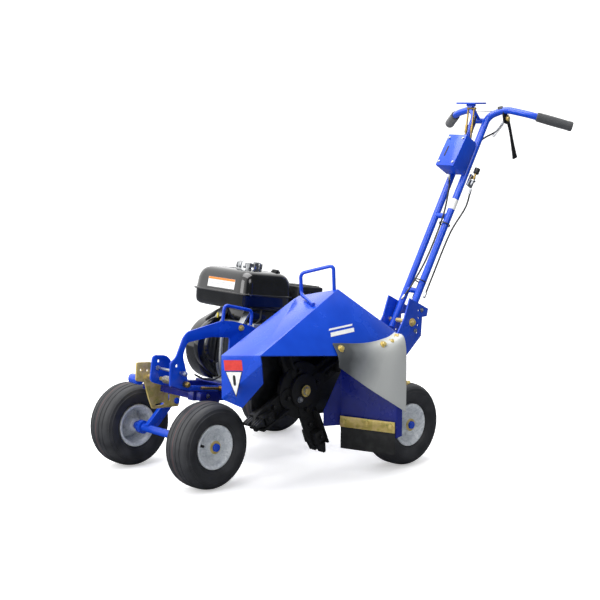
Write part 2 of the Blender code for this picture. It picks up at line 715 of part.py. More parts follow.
def tank():
    """A pressed two-part tank: a deep lower pan, a rolled seam and a domed lid."""
    x_low, x_high, y_low, y_high = -0.444, -0.205, 0.124, 0.410

    def layer(inset, height):
        corners = [(x_low + inset, y_low + inset), (x_high - inset, y_low + inset),
                   (x_high - inset, y_high - inset), (x_low + inset, y_high - inset)]
        return [(px, py, height) for px, py in rounded(corners, 0.040 - inset * 0.5, 4)]

    levels = ((0.030, TANK_LOW), (0.008, TANK_LOW + 0.020), (0.006, TANK_SEAM - 0.003),
              (0.000, TANK_SEAM - 0.003), (0.000, TANK_SEAM + 0.003), (0.007, TANK_SEAM + 0.003),
              (0.010, TANK_TOP - 0.032), (0.022, TANK_TOP - 0.010), (0.050, TANK_TOP))
    bm = bmesh.new()
    rings = [[bm.verts.new(point) for point in layer(*level)] for level in levels]
    for under, over in zip(rings, rings[1:]):
        for k in range(len(under)):
            after = (k + 1) % len(under)
            bm.faces.new((under[k], under[after], over[after], over[k]))
    bm.faces.new(rings[0][::-1])
    bm.faces.new(rings[-1])
    bmesh.ops.recalc_face_normals(bm, faces=bm.faces)
    keep(chassis_all(mesh_object(bm)), "fuel_tank", BLACK, ROOT, 40)

    place = (-0.338, 0.235)
    turn = empty("fuel_cap_turn", in_machine(*place, TANK_TOP), ROOT)
    cap = rod((*place, TANK_TOP + GAP), (*place, TANK_TOP + 0.028), 0.046, 28, 0.044)
    keep(chassis_all(cap), "fuel_cap", BRIGHT, turn, 40)


def engine_fittings():
    stays = chassis_all(box((-0.390, 0.170, CRANK_Z + 0.0853), (-0.235, 0.262, TANK_LOW - GAP)))
    keep(stays, "tank_stay", BLACK, ROOT)
    guard = box((-0.198, 0.128, 0.300), (-0.080, 0.238, 0.412))
    neck = box((-0.178, 0.165, CRANK_Z + 0.0803), (-0.150, 0.225, 0.305))
    base, extra = chassis_all(guard, neck)
    keep(combine(base, [extra]), "muffler", BLACK, ROOT)
    cleaner = box((-0.198, 0.2415, 0.285), (-0.085, 0.372, 0.395))
    base, extra = chassis_all(cleaner, box((-0.176, 0.245, CRANK_Z + 0.0803), (-0.150, 0.268, 0.290)))
    keep(combine(base, [extra]), "air_cleaner", PLASTIC, ROOT)
    lead = chassis_all(as_mesh(smooth_cable(
        [(-0.134, 0.206, 0.205), (-0.100, 0.206, 0.208), (-0.085, 0.230, 0.225), (-0.090, 0.285, 0.240),
         (-0.130, 0.300, 0.236), (-0.165, 0.302, 0.225)], 0.004, 0.012)))
    keep(lead, "spark_lead", PLASTIC, ROOT)


def drive():
    crank = empty("crank", in_machine(CRANK_X, 0.06, CRANK_Z), ROOT)
    place = in_machine(CRANK_X, 0, CRANK_Z)
    shaft = rod((place.x, 0.012, place.z), (place.x, 0.0977, place.z), 0.0125, 16)
    keep(shaft, "crank_shaft", BRIGHT, crank)
    keep(pulley(place.x, place.z, 0.038), "drive_pulley", ALLOY, crank)
    loop = belt((ROTOR_CENTRE.x, ROTOR_CENTRE.z), (place.x, place.z), (0.0605, 0.0285))
    keep(loop, "drive_belt", RUBBER, ROOT)


# Handle, folding about the bracket bolt

def bracket():
    """Two tall gusset plates that carry the handle's pivot bolt and its row of height holes."""
    outline = [(-0.062, 0.0605), (0.072, 0.0605), (0.226, 0.209), (0.285, 0.273), (0.280, 0.340),
               (0.304, 0.343), (0.308, 0.371), (0.204, 0.404), (0.186, 0.330), (0.140, 0.240), (0.010, 0.120)]
    holes = [(0.258, 0.362, 0.0045), (0.262, 0.336, 0.0045), (0.262, 0.310, 0.0045), (0.262, 0.283, 0.0045)]
    for name, y in (("bracket_near", -0.020), ("bracket_far", 0.080)):
        gusset = plate(outline, y - 0.003, y + 0.003, [(*handle_axis(), 0.0083), *holes])
        keep(chassis_all(gusset), name, BLUE, ROOT)


def handle_axis():
    place = CHASSIS.matrix_world.inverted() @ HANDLE_PIVOT
    return place.x, place.z


HANDLE_LOW = Vector((0.930, 0, 0.420))
HANDLE_HIGH = Vector((1.362, 0, 1.135))
BAIL_PIVOT = Vector((1.300, 0.030, 1.176))


def handle():
    body = empty("handle", HANDLE_PIVOT, ROOT)
    near, far = COLUMN_Y
    along = (HANDLE_HIGH - HANDLE_LOW).normalized()
    foot = HANDLE_LOW - along * 0.030
    pipes = []
    for y, side in ((near, -1), (far, 1)):
        path = [foot + Vector((0, y, 0)), HANDLE_HIGH + Vector((0, y, 0)),
                (1.400, y + side * 0.050, 1.160), (1.425, y + side * 0.140, 1.142),
                (1.520, 0.030 + side * 0.286, 1.100)]
        pipes.append(as_mesh(pipe(path, TUBE_RADIUS, 2, 0.028, 4)))
    rungs = [rod(HANDLE_LOW + along * d + Vector((0, near, 0)), HANDLE_LOW + along * d + Vector((0, far, 0)),
                 0.010, 12) for d in (0.120, 0.420, 0.815)]
    bolt = rod((HANDLE_PIVOT.x, -0.034, HANDLE_PIVOT.z), (HANDLE_PIVOT.x, 0.094, HANDLE_PIVOT.z), 0.0079, 12)
    stub = rod(HANDLE_LOW + along * 0.815 + Vector((0, 0.030, 0)), BAIL_PIVOT + Vector((0.0085, 0, -0.0085)), 0.006)
    keep(combine(pipes[0], [pipes[1], *rungs, bolt, stub]), "handle_frame", BLUE, body, 50)
    for name, side in (("grip_near", -1), ("grip_far", 1)):
        outer = Vector((1.520, 0.030 + side * 0.286, 1.100))
        inner = Vector((1.425, (near if side < 0 else far) + side * 0.140, 1.142))
        run = (inner - outer).normalized()
        sleeve = rod(outer - run * 0.006, outer + run * 0.128, 0.0175, 16)
        core = rod(outer - run * GAP, outer + run * 0.140, TUBE_RADIUS + GAP, 16)
        keep(cut(sleeve, [core]), name, GRIP, body, 40)
    return body, along


def control_box(body):
    low, high = Vector((1.229, 0, 0.918)), Vector((1.296, 0, 1.032))
    up = (high - low).normalized()
    ahead = Vector((-up.z, 0, up.x))
    y_low, y_high = -0.012, 0.072
    corners = [low + ahead * 0.0146, high + ahead * 0.0146, high + ahead * 0.078, low + ahead * 0.088]
    case = plate([(p.x, p.z) for p in corners], y_low, y_high)
    keep(case, "control_box", BLUE, body)


def throttle(body, along):
    base = Vector((1.242, 0, 0.905))
    back = Vector((along.z, 0, -along.x))
    y = -0.0200
    stand = box((-0.014, -0.004, -0.022), (0.014, 0.004, 0.022))
    stand.matrix_world = Matrix.Translation(base + Vector((0, y, 0)) + back * 0.004) @ Matrix.Rotation(
        math.atan2(along.x, along.z), 4, "Y")
    keep(stand, "throttle_bracket", BLACK, body)
    slide = empty("throttle_slide", base, body)
    slide.location = body.matrix_world.inverted() @ base
    bpy.context.view_layer.update()
    start = base + Vector((0, y - 0.0125, 0)) - along * 0.014
    stem = rod(start, start + along * 0.050, 0.0035, 10)
    knob = rod(start + along * 0.044, start + along * 0.064, 0.0105, 16)
    keep(combine(stem, [knob]), "throttle_knob", PLASTIC, slide)


def release_lever(body):
    pivot = Vector((1.402, -0.050, 1.138))
    turn = empty("release_lever_pivot", pivot, body)
    turn.location = body.matrix_world.inverted() @ pivot
    bpy.context.view_layer.update()
    outline = [(1.392, 1.128), (1.396, 1.142), (1.412, 1.138), (1.424, 1.112), (1.462, 0.990), (1.452, 0.974),
               (1.438, 0.980), (1.408, 1.100)]
    blade = plate(outline, -0.060, -0.054)
    keep(blade, "release_lever", BLACK, turn)


def engage_bail(body):
    """The operator's engage plate at the top of the column and the zinc link below it."""
    pivot = BAIL_PIVOT
    turn = empty("engage_bail_pivot", pivot, body)
    turn.location = body.matrix_world.inverted() @ pivot
    bpy.context.view_layer.update()
    slab = box((1.268, -0.014, 1.180), (1.334, 0.074, 1.186))
    hinge = rod((pivot.x, 0.012, pivot.z), (pivot.x, 0.048, pivot.z), 0.006, 12)
    keep(combine(slab, [hinge]), "engage_bail", BLUE, turn)


def cables(body):
    """The control cables, clipped to the column and led down to the chassis."""
    runs = {
        "cable_engage": [(1.172, 0.020, 0.925), (1.168, 0.018, 0.880), (1.130, 0.012, 0.780),
                         (1.050, 0.014, 0.640), (0.975, 0.020, 0.545), (0.930, 0.024, 0.500)],
        "cable_throttle": [(1.230, -0.032, 0.872), (1.205, -0.030, 0.810), (1.130, -0.022, 0.720),
                           (1.040, -0.0185, 0.570), (0.990, -0.0270, 0.505)],
        "cable_release": [(1.396, -0.047, 1.116), (1.375, -0.028, 1.080), (1.345, 0.024, 1.040),
                          (1.282, 0.030, 0.950), (1.165, 0.030, 0.770), (1.060, 0.030, 0.600),
                          (0.985, 0.032, 0.480)],
    }
    for name, places in runs.items():
        keep(smooth_cable(places, 0.0030, 0.020), name, PLASTIC, body)


def centre_on_origin():
    """Moves the machine so that the middle of its footprint is the origin and it stands on z = 0."""
    bpy.context.view_layer.update()
    graph = bpy.context.evaluated_depsgraph_get()
    low, high = Vector((9, 9, 9)), Vector((-9, -9, -9))
    for item in PARTS.objects:
        if item.type == "EMPTY":
            continue
        solid = item.evaluated_get(graph)
        data = solid.to_mesh()
        for vertex in data.vertices:
            place = solid.matrix_world @ vertex.co
            low = Vector(map(min, low, place))
            high = Vector(map(max, high, place))
        solid.to_mesh_clear()
    ROOT.location = (-(low.x + high.x) / 2, -(low.y + high.y) / 2, -low.z)
    for helper in HELPERS.objects:
        helper.location += ROOT.location
    bpy.context.view_layer.update()


frame()
deck()
arch()
lock_ear()
chamber_side()
lift_handles()
hood()
rear_wall()
skirt_and_strip()
discharge_flap()
rotor()
bearing()
front_group()
lock_pin()
rear_axle()
engine()
tank()
engine_fittings()
drive()
bracket()
HANDLE, ALONG = handle()
control_box(HANDLE)
throttle(HANDLE, ALONG)
release_lever(HANDLE)
engage_bail(HANDLE)
cables(HANDLE)
centre_on_origin()
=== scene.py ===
"""Finishes a walk-behind bed edger: paint, rubber, castings, cables and hardware around its frame.

Lengths are metres. Places are written in two working frames: MACHINE has its zero under the near front wheel
with X towards the operator and Z up, and CHASSIS lies along the welded rails, which stand nose up.
"""

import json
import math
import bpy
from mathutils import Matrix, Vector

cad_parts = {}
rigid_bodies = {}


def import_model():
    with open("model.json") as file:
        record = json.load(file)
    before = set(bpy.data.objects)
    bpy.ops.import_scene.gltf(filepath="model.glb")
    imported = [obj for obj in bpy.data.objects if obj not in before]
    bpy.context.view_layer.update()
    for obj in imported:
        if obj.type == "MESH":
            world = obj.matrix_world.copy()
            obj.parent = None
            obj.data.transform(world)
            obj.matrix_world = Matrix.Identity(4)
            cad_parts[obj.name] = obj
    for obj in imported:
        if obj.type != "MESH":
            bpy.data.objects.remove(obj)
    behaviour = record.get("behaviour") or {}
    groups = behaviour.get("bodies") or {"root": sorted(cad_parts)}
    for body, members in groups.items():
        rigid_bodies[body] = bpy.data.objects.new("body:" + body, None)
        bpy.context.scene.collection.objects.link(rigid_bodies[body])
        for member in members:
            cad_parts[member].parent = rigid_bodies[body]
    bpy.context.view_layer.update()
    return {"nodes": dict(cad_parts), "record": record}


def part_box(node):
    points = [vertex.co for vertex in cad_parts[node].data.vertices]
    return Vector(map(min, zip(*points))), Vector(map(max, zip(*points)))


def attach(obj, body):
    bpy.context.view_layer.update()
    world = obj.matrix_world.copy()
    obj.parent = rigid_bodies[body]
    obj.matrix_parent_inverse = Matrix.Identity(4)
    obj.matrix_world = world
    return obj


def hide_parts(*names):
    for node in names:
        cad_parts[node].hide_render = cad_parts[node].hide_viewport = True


bl_info = {
    "name": "Bed Edger Finish",
    "version": (1, 0, 0),
    "blender": (4, 5, 0),
    "location": "View3D > Sidebar > Bed Edger",
    "description": "Builds the finished surfaces and hardware of a walk-behind bed edger",
    "category": "Object",
}

import bmesh
import bpy
from bpy.props import FloatProperty, FloatVectorProperty, IntProperty, PointerProperty
from mathutils import Matrix, Vector

for spare in list(bpy.data.objects):
    bpy.data.objects.remove(spare, do_unlink=True)

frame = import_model()
RECORD = frame["record"]
BODY_OF = {node: body for body, nodes in RECORD["behaviour"]["bodies"].items() for node in nodes}
SLOT_OF = {row["node"]: row["material_slot"] for row in RECORD["subparts"]}

WHEEL_RADIUS = 0.1375
WHEELBASE = 0.6575
NOSE_UP = math.radians(8.5)
HUB = (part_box("front_near_tyre")[0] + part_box("front_near_tyre")[1]) / 2
WORLD = Matrix.Identity(4)
MACHINE = Matrix.Translation((HUB.x, HUB.y, HUB.z - WHEEL_RADIUS))
CHASSIS = MACHINE @ Matrix.Translation((WHEELBASE, 0, WHEEL_RADIUS)) @ Matrix.Rotation(NOSE_UP, 4, "Y")


# Colour and node helpers

def linear(code):
    """An sRGB hex colour as linear RGBA."""
    channels = [int(code[i:i + 2], 16) / 255 for i in (0, 2, 4)]
    return tuple(c / 12.92 if c <= 0.04045 else ((c + 0.055) / 1.055) ** 2.4 for c in channels) + (1.0,)


def add(tree, kind, sockets=None, **settings):
    """Adds a node with its settings; each socket takes a value or another node's output."""
    made = tree.nodes.new(kind)
    for name, value in settings.items():
        setattr(made, name, value)
    for key, value in (sockets or {}).items():
        if isinstance(value, bpy.types.NodeSocket):
            tree.links.new(value, made.inputs[key])
        else:
            made.inputs[key].default_value = value
    return made


def start_material(name, colour, roughness, metallic=0.0, **fixed):
    """A material with its shader's own values set; returns its tree, shader and Object coordinates."""
    made = bpy.data.materials.new(name)
    made.use_nodes = True
    tree = made.node_tree
    shader = tree.nodes["Principled BSDF"]
    shader.inputs["Base Color"].default_value = linear(colour)
    shader.inputs["Roughness"].default_value = roughness
    shader.inputs["Metallic"].default_value = metallic
    for socket, value in fixed.items():
        shader.inputs[socket.replace("_", " ").title().replace("Ior", "IOR")].default_value = value
    place = add(tree, "ShaderNodeTexCoord").outputs["Object"]
    return made, tree, shader, place


def tint(tree, shader, mask, low, high, start=0.35, end=0.65):
    """Colours the shader from one hex colour to another as the mask rises from start to end."""
    ramp = add(tree, "ShaderNodeValToRGB", {"Fac": mask})
    ramp.color_ramp.elements[0].position = start
    ramp.color_ramp.elements[1].position = end
    ramp.color_ramp.elements[0].color = linear(low)
    ramp.color_ramp.elements[1].color = linear(high)
    tree.links.new(ramp.outputs["Color"], shader.inputs["Base Color"])
    return ramp.outputs["Color"]


def vary_roughness(tree, shader, mask, low, high):
    """Spreads the shader's roughness from low to high with a noise mask."""
    spread = add(tree, "ShaderNodeMapRange", {"Value": mask, "From Min": 0.3, "From Max": 0.7,
                                              "To Min": low, "To Max": high})
    tree.links.new(spread.outputs["Result"], shader.inputs["Roughness"])


def relief(tree, shader, height, depth, strength=1.0):
    """Bumps the shader's surface by a height pattern, depth metres deep."""
    bump = add(tree, "ShaderNodeBump", {"Height": height, "Distance": depth, "Strength": strength})
    tree.links.new(bump.outputs["Normal"], shader.inputs["Normal"])


def per_mm(size):
    """A noise scale whose features are about size millimetres across."""
    return 1000.0 / size


# Materials

def powder_coat(name, dull, bright):
    """Gloss polyester powder coat over steel: deep colour under a clear skin with faint orange peel."""
    made, tree, shader, place = start_material(name, bright, 0.26, coat_weight=0.3, coat_roughness=0.06)
    cloud = add(tree, "ShaderNodeTexNoise", {"Vector": place, "Scale": per_mm(90), "Detail": 3.0})
    tint(tree, shader, cloud.outputs["Fac"], dull, bright)
    vary_roughness(tree, shader, cloud.outputs["Fac"], 0.20, 0.30)
    peel = add(tree, "ShaderNodeTexNoise", {"Vector": place, "Scale": per_mm(3.0), "Detail": 2.0})
    relief(tree, shader, peel.outputs["Fac"], 0.00012, 0.35)
    return made


def tyre_rubber():
    """Carbon-black tyre rubber with a bloom of dust and a dull red moulding line round the crown."""
    made, tree, shader, place = start_material("tyre_rubber", "1f2022", 0.58)
    bloom = add(tree, "ShaderNodeTexNoise", {"Vector": place, "Scale": per_mm(38), "Detail": 6.0})
    dusty = tint(tree, shader, bloom.outputs["Fac"], "232427", "3c3d40", 0.3, 0.8)
    across = add(tree, "ShaderNodeAttribute", attribute_name="across").outputs["Fac"]
    off_line = add(tree, "ShaderNodeMath", {0: across, 1: -0.0015}, operation="ADD")
    distance = add(tree, "ShaderNodeMath", {0: off_line.outputs["Value"]}, operation="ABSOLUTE")
    line = add(tree, "ShaderNodeMapRange", {"Value": distance.outputs["Value"], "From Min": 0.0006,
                                            "From Max": 0.0016, "To Min": 0.55, "To Max": 0.0})
    mix = add(tree, "ShaderNodeMix", {"Factor": line.outputs["Result"], "A": dusty, "B": linear("7c4a48")},
              data_type="RGBA")
    tree.links.new(mix.outputs["Result"], shader.inputs["Base Color"])
    vary_roughness(tree, shader, bloom.outputs["Fac"], 0.46, 0.66)
    grain = add(tree, "ShaderNodeTexNoise", {"Vector": place, "Scale": per_mm(1.6), "Detail": 4.0})
    relief(tree, shader, grain.outputs["Fac"], 0.00025, 0.5)
    return made


def rim_paint():
    """Grey stove enamel over a spun and welded rim, with the streaks of the spinning."""
    made, tree, shader, place = start_material("rim_enamel", "d8dce0", 0.40, 0.05, coat_weight=0.15)
    streak = add(tree, "ShaderNodeTexNoise", {"Vector": place, "Scale": per_mm(16), "Detail": 6.0,
                                              "Distortion": 1.8})
    tint(tree, shader, streak.outputs["Fac"], "c2c8cd", "f0f3f5", 0.3, 0.7)
    vary_roughness(tree, shader, streak.outputs["Fac"], 0.28, 0.46)
    grit = add(tree, "ShaderNodeTexNoise", {"Vector": place, "Scale": per_mm(2.2), "Detail": 3.0})
    relief(tree, shader, grit.outputs["Fac"], 0.00015, 0.5)
    return made


def yellow_zinc():
    """Yellow-passivated zinc plate: gold drifting to green and rose where the film thickens."""
    made, tree, shader, place = start_material("yellow_zinc_plate", "dcc67a", 0.34, 0.3)
    film = add(tree, "ShaderNodeTexNoise", {"Vector": place, "Scale": per_mm(26), "Detail": 4.0,
                                            "Distortion": 0.8})
    ramp = add(tree, "ShaderNodeValToRGB", {"Fac": film.outputs["Fac"]})
    ramp.color_ramp.elements[0].position = 0.28
    ramp.color_ramp.elements[0].color = linear("b9b566")
    ramp.color_ramp.elements[1].position = 0.74
    ramp.color_ramp.elements[1].color = linear("d0ad7c")
    ramp.color_ramp.elements.new(0.42).color = linear("ccb564")
    ramp.color_ramp.elements.new(0.56).color = linear("dfc880")
    tree.links.new(ramp.outputs["Color"], shader.inputs["Base Color"])
    vary_roughness(tree, shader, film.outputs["Fac"], 0.26, 0.42)
    rolled = add(tree, "ShaderNodeMapping", {"Vector": place, "Scale": (1.0, 1.0, 14.0)})
    lines = add(tree, "ShaderNodeTexNoise", {"Vector": rolled.outputs["Vector"], "Scale": per_mm(4),
                                             "Detail": 3.0})
    relief(tree, shader, lines.outputs["Fac"], 0.00008, 0.5)
    return made


def bright_metal(name, low, high, rough_low, rough_high, grain_mm):
    """Bright worked steel or chrome, lightly grained by its polishing."""
    made, tree, shader, place = start_material(name, high, rough_low, 1.0)
    along = add(tree, "ShaderNodeMapping", {"Vector": place, "Scale": (1.0, 6.0, 1.0)})
    grain = add(tree, "ShaderNodeTexNoise", {"Vector": along.outputs["Vector"], "Scale": per_mm(grain_mm),
                                             "Detail": 5.0})
    tint(tree, shader, grain.outputs["Fac"], low, high)
    vary_roughness(tree, shader, grain.outputs["Fac"], rough_low, rough_high)
    relief(tree, shader, grain.outputs["Fac"], 0.00005, 0.4)
    return made


def cast_metal(name, low, high, roughness, metallic, grit_mm):
    """Cast metal: a sandy skin that scatters light, darker in its pits."""
    made, tree, shader, place = start_material(name, high, roughness, metallic)
    grit = add(tree, "ShaderNodeTexNoise", {"Vector": place, "Scale": per_mm(grit_mm), "Detail": 6.0})
    tint(tree, shader, grit.outputs["Fac"], low, high)
    relief(tree, shader, grit.outputs["Fac"], 0.0004, 0.6)
    return made


def black_enamel():
    """Black engine enamel on pressed steel: wet-looking, with slow waves from the pressing."""
    made, tree, shader, place = start_material("black_engine_enamel", "0b0c0d", 0.16, coat_weight=0.8,
                                               coat_roughness=0.05)
    wave = add(tree, "ShaderNodeTexNoise", {"Vector": place, "Scale": per_mm(42), "Detail": 2.0})
    tint(tree, shader, wave.outputs["Fac"], "08090a", "121315")
    vary_roughness(tree, shader, wave.outputs["Fac"], 0.12, 0.24)
    relief(tree, shader, wave.outputs["Fac"], 0.0006, 0.25)
    return made


def satin_black():
    """Satin black paint on cut plate, a little chalky where soil rubs it."""
    made, tree, shader, place = start_material("satin_black_paint", "161718", 0.42)
    rub = add(tree, "ShaderNodeTexNoise", {"Vector": place, "Scale": per_mm(14), "Detail": 7.0})
    tint(tree, shader, rub.outputs["Fac"], "0f1011", "232425", 0.4, 0.75)
    vary_roughness(tree, shader, rub.outputs["Fac"], 0.30, 0.55)
    relief(tree, shader, rub.outputs["Fac"], 0.0003, 0.4)
    return made


def moulded_plastic():
    """Moulded nylon with a fine spark-eroded grain, which breaks up its highlights."""
    made, tree, shader, place = start_material("moulded_nylon", "18191a", 0.48)
    grain = add(tree, "ShaderNodeTexNoise", {"Vector": place, "Scale": per_mm(1.2), "Detail": 2.0})
    tint(tree, shader, grain.outputs["Fac"], "131415", "1f2021")
    relief(tree, shader, grain.outputs["Fac"], 0.0001, 0.6)
    return made


def foam_grip():
    """Closed-cell foam sleeve: matt charcoal with open cells at its skin, drawn coarse so they show."""
    made, tree, shader, place = start_material("foam_grip", "3a3b3d", 0.86, sheen_weight=0.25)
    cells = add(tree, "ShaderNodeTexVoronoi", {"Vector": place, "Scale": per_mm(2.0)})
    tint(tree, shader, cells.outputs["Distance"], "303133", "47484a", 0.1, 0.7)
    relief(tree, shader, cells.outputs["Distance"], 0.0004, 0.7)
    return made


def flap_rubber():
    """Cloth-inserted rubber sheet: calendered grey skin over a 2 mm weave, painted dark at its front and pale
    at its back as painted reflection and shade.
    """
    made, tree, shader, place = start_material("cloth_inserted_rubber", "7e8081", 0.36, coat_weight=0.25,
                                               coat_roughness=0.25)
    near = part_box("discharge_flap")
    span = near[1] - near[0]
    seen = add(tree, "ShaderNodeSeparateXYZ", {"Vector": place})
    ripple = add(tree, "ShaderNodeTexNoise", {"Vector": place, "Scale": per_mm(70), "Detail": 3.0})
    # Painted reflection and shade: a slanted ramp runs from dark at the front, for mirrored dark
    # surroundings, to pale at the back, for the light it faces; a little random ripple of tone rides on it.
    lean = add(tree, "ShaderNodeMath", {0: seen.outputs["Z"], 1: 0.55}, operation="MULTIPLY")
    reach = add(tree, "ShaderNodeMath", {0: seen.outputs["X"], 1: lean.outputs["Value"]},
                operation="SUBTRACT")
    low = near[0].x - 0.55 * near[1].z
    share = add(tree, "ShaderNodeMapRange", {"Value": reach.outputs["Value"], "From Min": low + 0.045,
                                             "From Max": low + 0.20 + 0.2 * span.x})
    ripple_and_painted_shade = add(tree, "ShaderNodeMath", {0: ripple.outputs["Fac"], 1: 0.30, 2: share.outputs["Result"]},
                operation="MULTIPLY_ADD")
    ramp = add(tree, "ShaderNodeValToRGB", {"Fac": ripple_and_painted_shade.outputs["Value"]})
    ramp.color_ramp.elements[0].position = 0.32
    ramp.color_ramp.elements[0].color = linear("484b4d")
    ramp.color_ramp.elements[1].position = 1.0
    ramp.color_ramp.elements[1].color = linear("bcbebb")
    ramp.color_ramp.elements.new(0.60).color = linear("85888a")
    tree.links.new(ramp.outputs["Color"], shader.inputs["Base Color"])
    weave = add(tree, "ShaderNodeTexWave", {"Vector": place, "Scale": per_mm(6.3) / 3.0, "Distortion": 0.4},
                bands_direction="X")
    relief(tree, shader, weave.outputs["Fac"], 0.0001, 0.25)
    return made


def black_sheet_rubber():
    """Plain black belt rubber, dusted grey by soil."""
    made, tree, shader, place = start_material("black_sheet_rubber", "1c1d1d", 0.66)
    dust = add(tree, "ShaderNodeTexNoise", {"Vector": place, "Scale": per_mm(24), "Detail": 8.0})
    tint(tree, shader, dust.outputs["Fac"], "181919", "2e2f2e", 0.42, 0.8)
    relief(tree, shader, dust.outputs["Fac"], 0.0002, 0.5)
    return made


def vinyl(name, colour, edge):
    """Printed vinyl film, slightly soft at the surface."""
    made, tree, shader, place = start_material(name, colour, 0.32, coat_weight=0.2)
    print_tone = add(tree, "ShaderNodeTexNoise", {"Vector": place, "Scale": per_mm(9), "Detail": 2.0})
    tint(tree, shader, print_tone.outputs["Fac"], edge, colour)
    relief(tree, shader, print_tone.outputs["Fac"], 0.00005, 0.3)
    return made


def studio_floor():
    """Seamless paper sweep: near white to the eye, and a mid grey in reflections, as beyond a light tent."""
    made, tree, shader, place = start_material("paper_sweep", "fbfbfb", 0.7)
    fibre = add(tree, "ShaderNodeTexNoise", {"Vector": place, "Scale": per_mm(400), "Detail": 2.0})
    white = tint(tree, shader, fibre.outputs["Fac"], "f9f9fa", "fdfdfd")
    path = add(tree, "ShaderNodeLightPath")
    seen = path.outputs["Is Camera Ray"]
    bounced = add(tree, "ShaderNodeMix", {"Factor": seen, "A": linear("b4b6ba"), "B": white},
                  data_type="RGBA")
    mirrored = add(tree, "ShaderNodeMix", {"Factor": path.outputs["Is Glossy Ray"],
                                           "A": bounced.outputs["Result"],
                                           "B": linear("5c5f66")}, data_type="RGBA")
    tree.links.new(mirrored.outputs["Result"], shader.inputs["Base Color"])
    lift = add(tree, "ShaderNodeMath", {0: seen, 1: 0.42}, operation="MULTIPLY")
    shader.inputs["Emission Color"].default_value = (1, 1, 1, 1)
    tree.links.new(lift.outputs["Value"], shader.inputs["Emission Strength"])
    return made


FINISHES = {
    "blue": lambda: powder_coat("royal_powder_coat", "0c44c4", "104cd2"),
    # Painted shade: this darker copy of the blue powder coat is not a paint of its own; it darkens the frame,
    # deck, shelf, rear wall and weld beads that sit under and inside the machine.
    "deep_blue": lambda: powder_coat("shaded_powder_coat", "0d1c78", "102288"),
    "tyre": tyre_rubber,
    "rim": rim_paint,
    "zinc": yellow_zinc,
    "steel": lambda: bright_metal("bright_steel", "a9acb0", "c9ccd0", 0.22, 0.38, 5.0),
    "chrome": lambda: bright_metal("chromed_cap", "a4a6a8", "c8cacc", 0.12, 0.22, 9.0),
    "brass": lambda: bright_metal("turned_brass", "a88a4a", "c9ab66", 0.22, 0.36, 3.0),
    "alloy": lambda: cast_metal("die_cast_alloy", "8b8f92", "b3b6b8", 0.42, 0.75, 1.8),
    "cast_black": lambda: cast_metal("cast_iron_black", "0e0e0f", "1e1f1f", 0.55, 0.1, 3.0),
    "enamel": black_enamel,
    "satin_black": satin_black,
    "plastic": moulded_plastic,
    "foam": foam_grip,
    "flap": flap_rubber,
    "sheet": black_sheet_rubber,
    "white_vinyl": lambda: vinyl("white_vinyl", "f4f4f2", "e6e6e3"),
    "orange_vinyl": lambda: vinyl("orange_vinyl", "f08a24", "e67f1c"),
    "red_vinyl": lambda: vinyl("red_vinyl", "dd4038", "cf372f"),
    "grey_vinyl": lambda: vinyl("grey_vinyl", "b9bcbe", "a4a7a9"),
    "yellow_vinyl": lambda: vinyl("yellow_vinyl", "e2cf45", "d2be36"),
}
MADE = {}


def finish(name):
    """The named material, made the first time it is asked for."""
    if name not in MADE:
        MADE[name] = FINISHES[name]()
    return MADE[name]


# Shapes, each added to a mesh that is being built

def add_faces(bm, rings, closed_ends=True):
    """Joins rings of points into a skin, with a face over each end."""
    rows = [[bm.verts.new(point) for point in ring] for ring in rings]
    for under, over in zip(rows, rows[1:]):
        for k in range(len(under)):
            after = (k + 1) % len(under)
            bm.faces.new((under[k], under[after], over[after], over[k]))
    if closed_ends:
        bm.faces.new(rows[0][::-1])
        bm.faces.new(rows[-1])
    return rows


def add_box(bm, low, high, turn=WORLD):
    size = [b - a for a, b in zip(low, high)]
    middle = Vector([(a + b) / 2 for a, b in zip(low, high)])
    place = turn @ Matrix.Translation(middle) @ Matrix.Diagonal((*size, 1))
    bmesh.ops.create_cube(bm, size=1, matrix=place)


def aimed(place, way):
    """A frame at place whose Z axis runs along way."""
    return Matrix.Translation(place) @ Vector(way).normalized().to_track_quat("Z", "Y").to_matrix().to_4x4()


def add_rod(bm, start, end, radius, sides=24, end_radius=None, turn=WORLD):
    run = Vector(end) - Vector(start)
    bmesh.ops.create_cone(
        bm, cap_ends=True, segments=sides, radius1=radius,
        radius2=radius if end_radius is None else end_radius,
        depth=run.length, matrix=turn @ aimed(Vector(start) + run / 2, run))


def add_lathe(bm, profile, turn, steps=64):
    """Turns a profile of (radius, offset) about turn's Z axis; one that starts off the axis is closed."""
    rings = []
    for k in range(steps):
        angle = 2 * math.pi * k / steps
        rings.append([turn @ Vector((r * math.cos(angle), r * math.sin(angle), z)) for r, z in profile])
    on_axis = profile[0][0] < 1e-6
    rows = [[bm.verts.new(point) for point in ring] for ring in rings]
    count = len(profile)
    for k, row in enumerate(rows):
        after = rows[(k + 1) % steps]
        for i in range(count - 1 if on_axis else count):
            j = (i + 1) % count
            bm.faces.new((row[i], row[j], after[j], after[i]))
    bmesh.ops.remove_doubles(bm, verts=[v for row in rows for v in row], dist=1e-6)
    return rows


def add_tube(bm, path, radius, sides=16):
    """Sweeps a circle along a path without twist; radius may be one value or one for each point."""
    path = [Vector(point) for point in path]
    radii = radius if isinstance(radius, (list, tuple)) else [radius] * len(path)
    rings, side = [], None
    for i, point in enumerate(path):
        tangent = (path[min(i + 1, len(path) - 1)] - path[max(i - 1, 0)]).normalized()
        if side is None:
            side = tangent.orthogonal().normalized()
        side = (side - tangent * side.dot(tangent)).normalized()
        up = tangent.cross(side)
        ring = []
        for k in range(sides):
            angle = 2 * math.pi * k / sides
            ring.append(point + (side * math.cos(angle) + up * math.sin(angle)) * radii[i])
        rings.append(ring)
    add_faces(bm, rings)


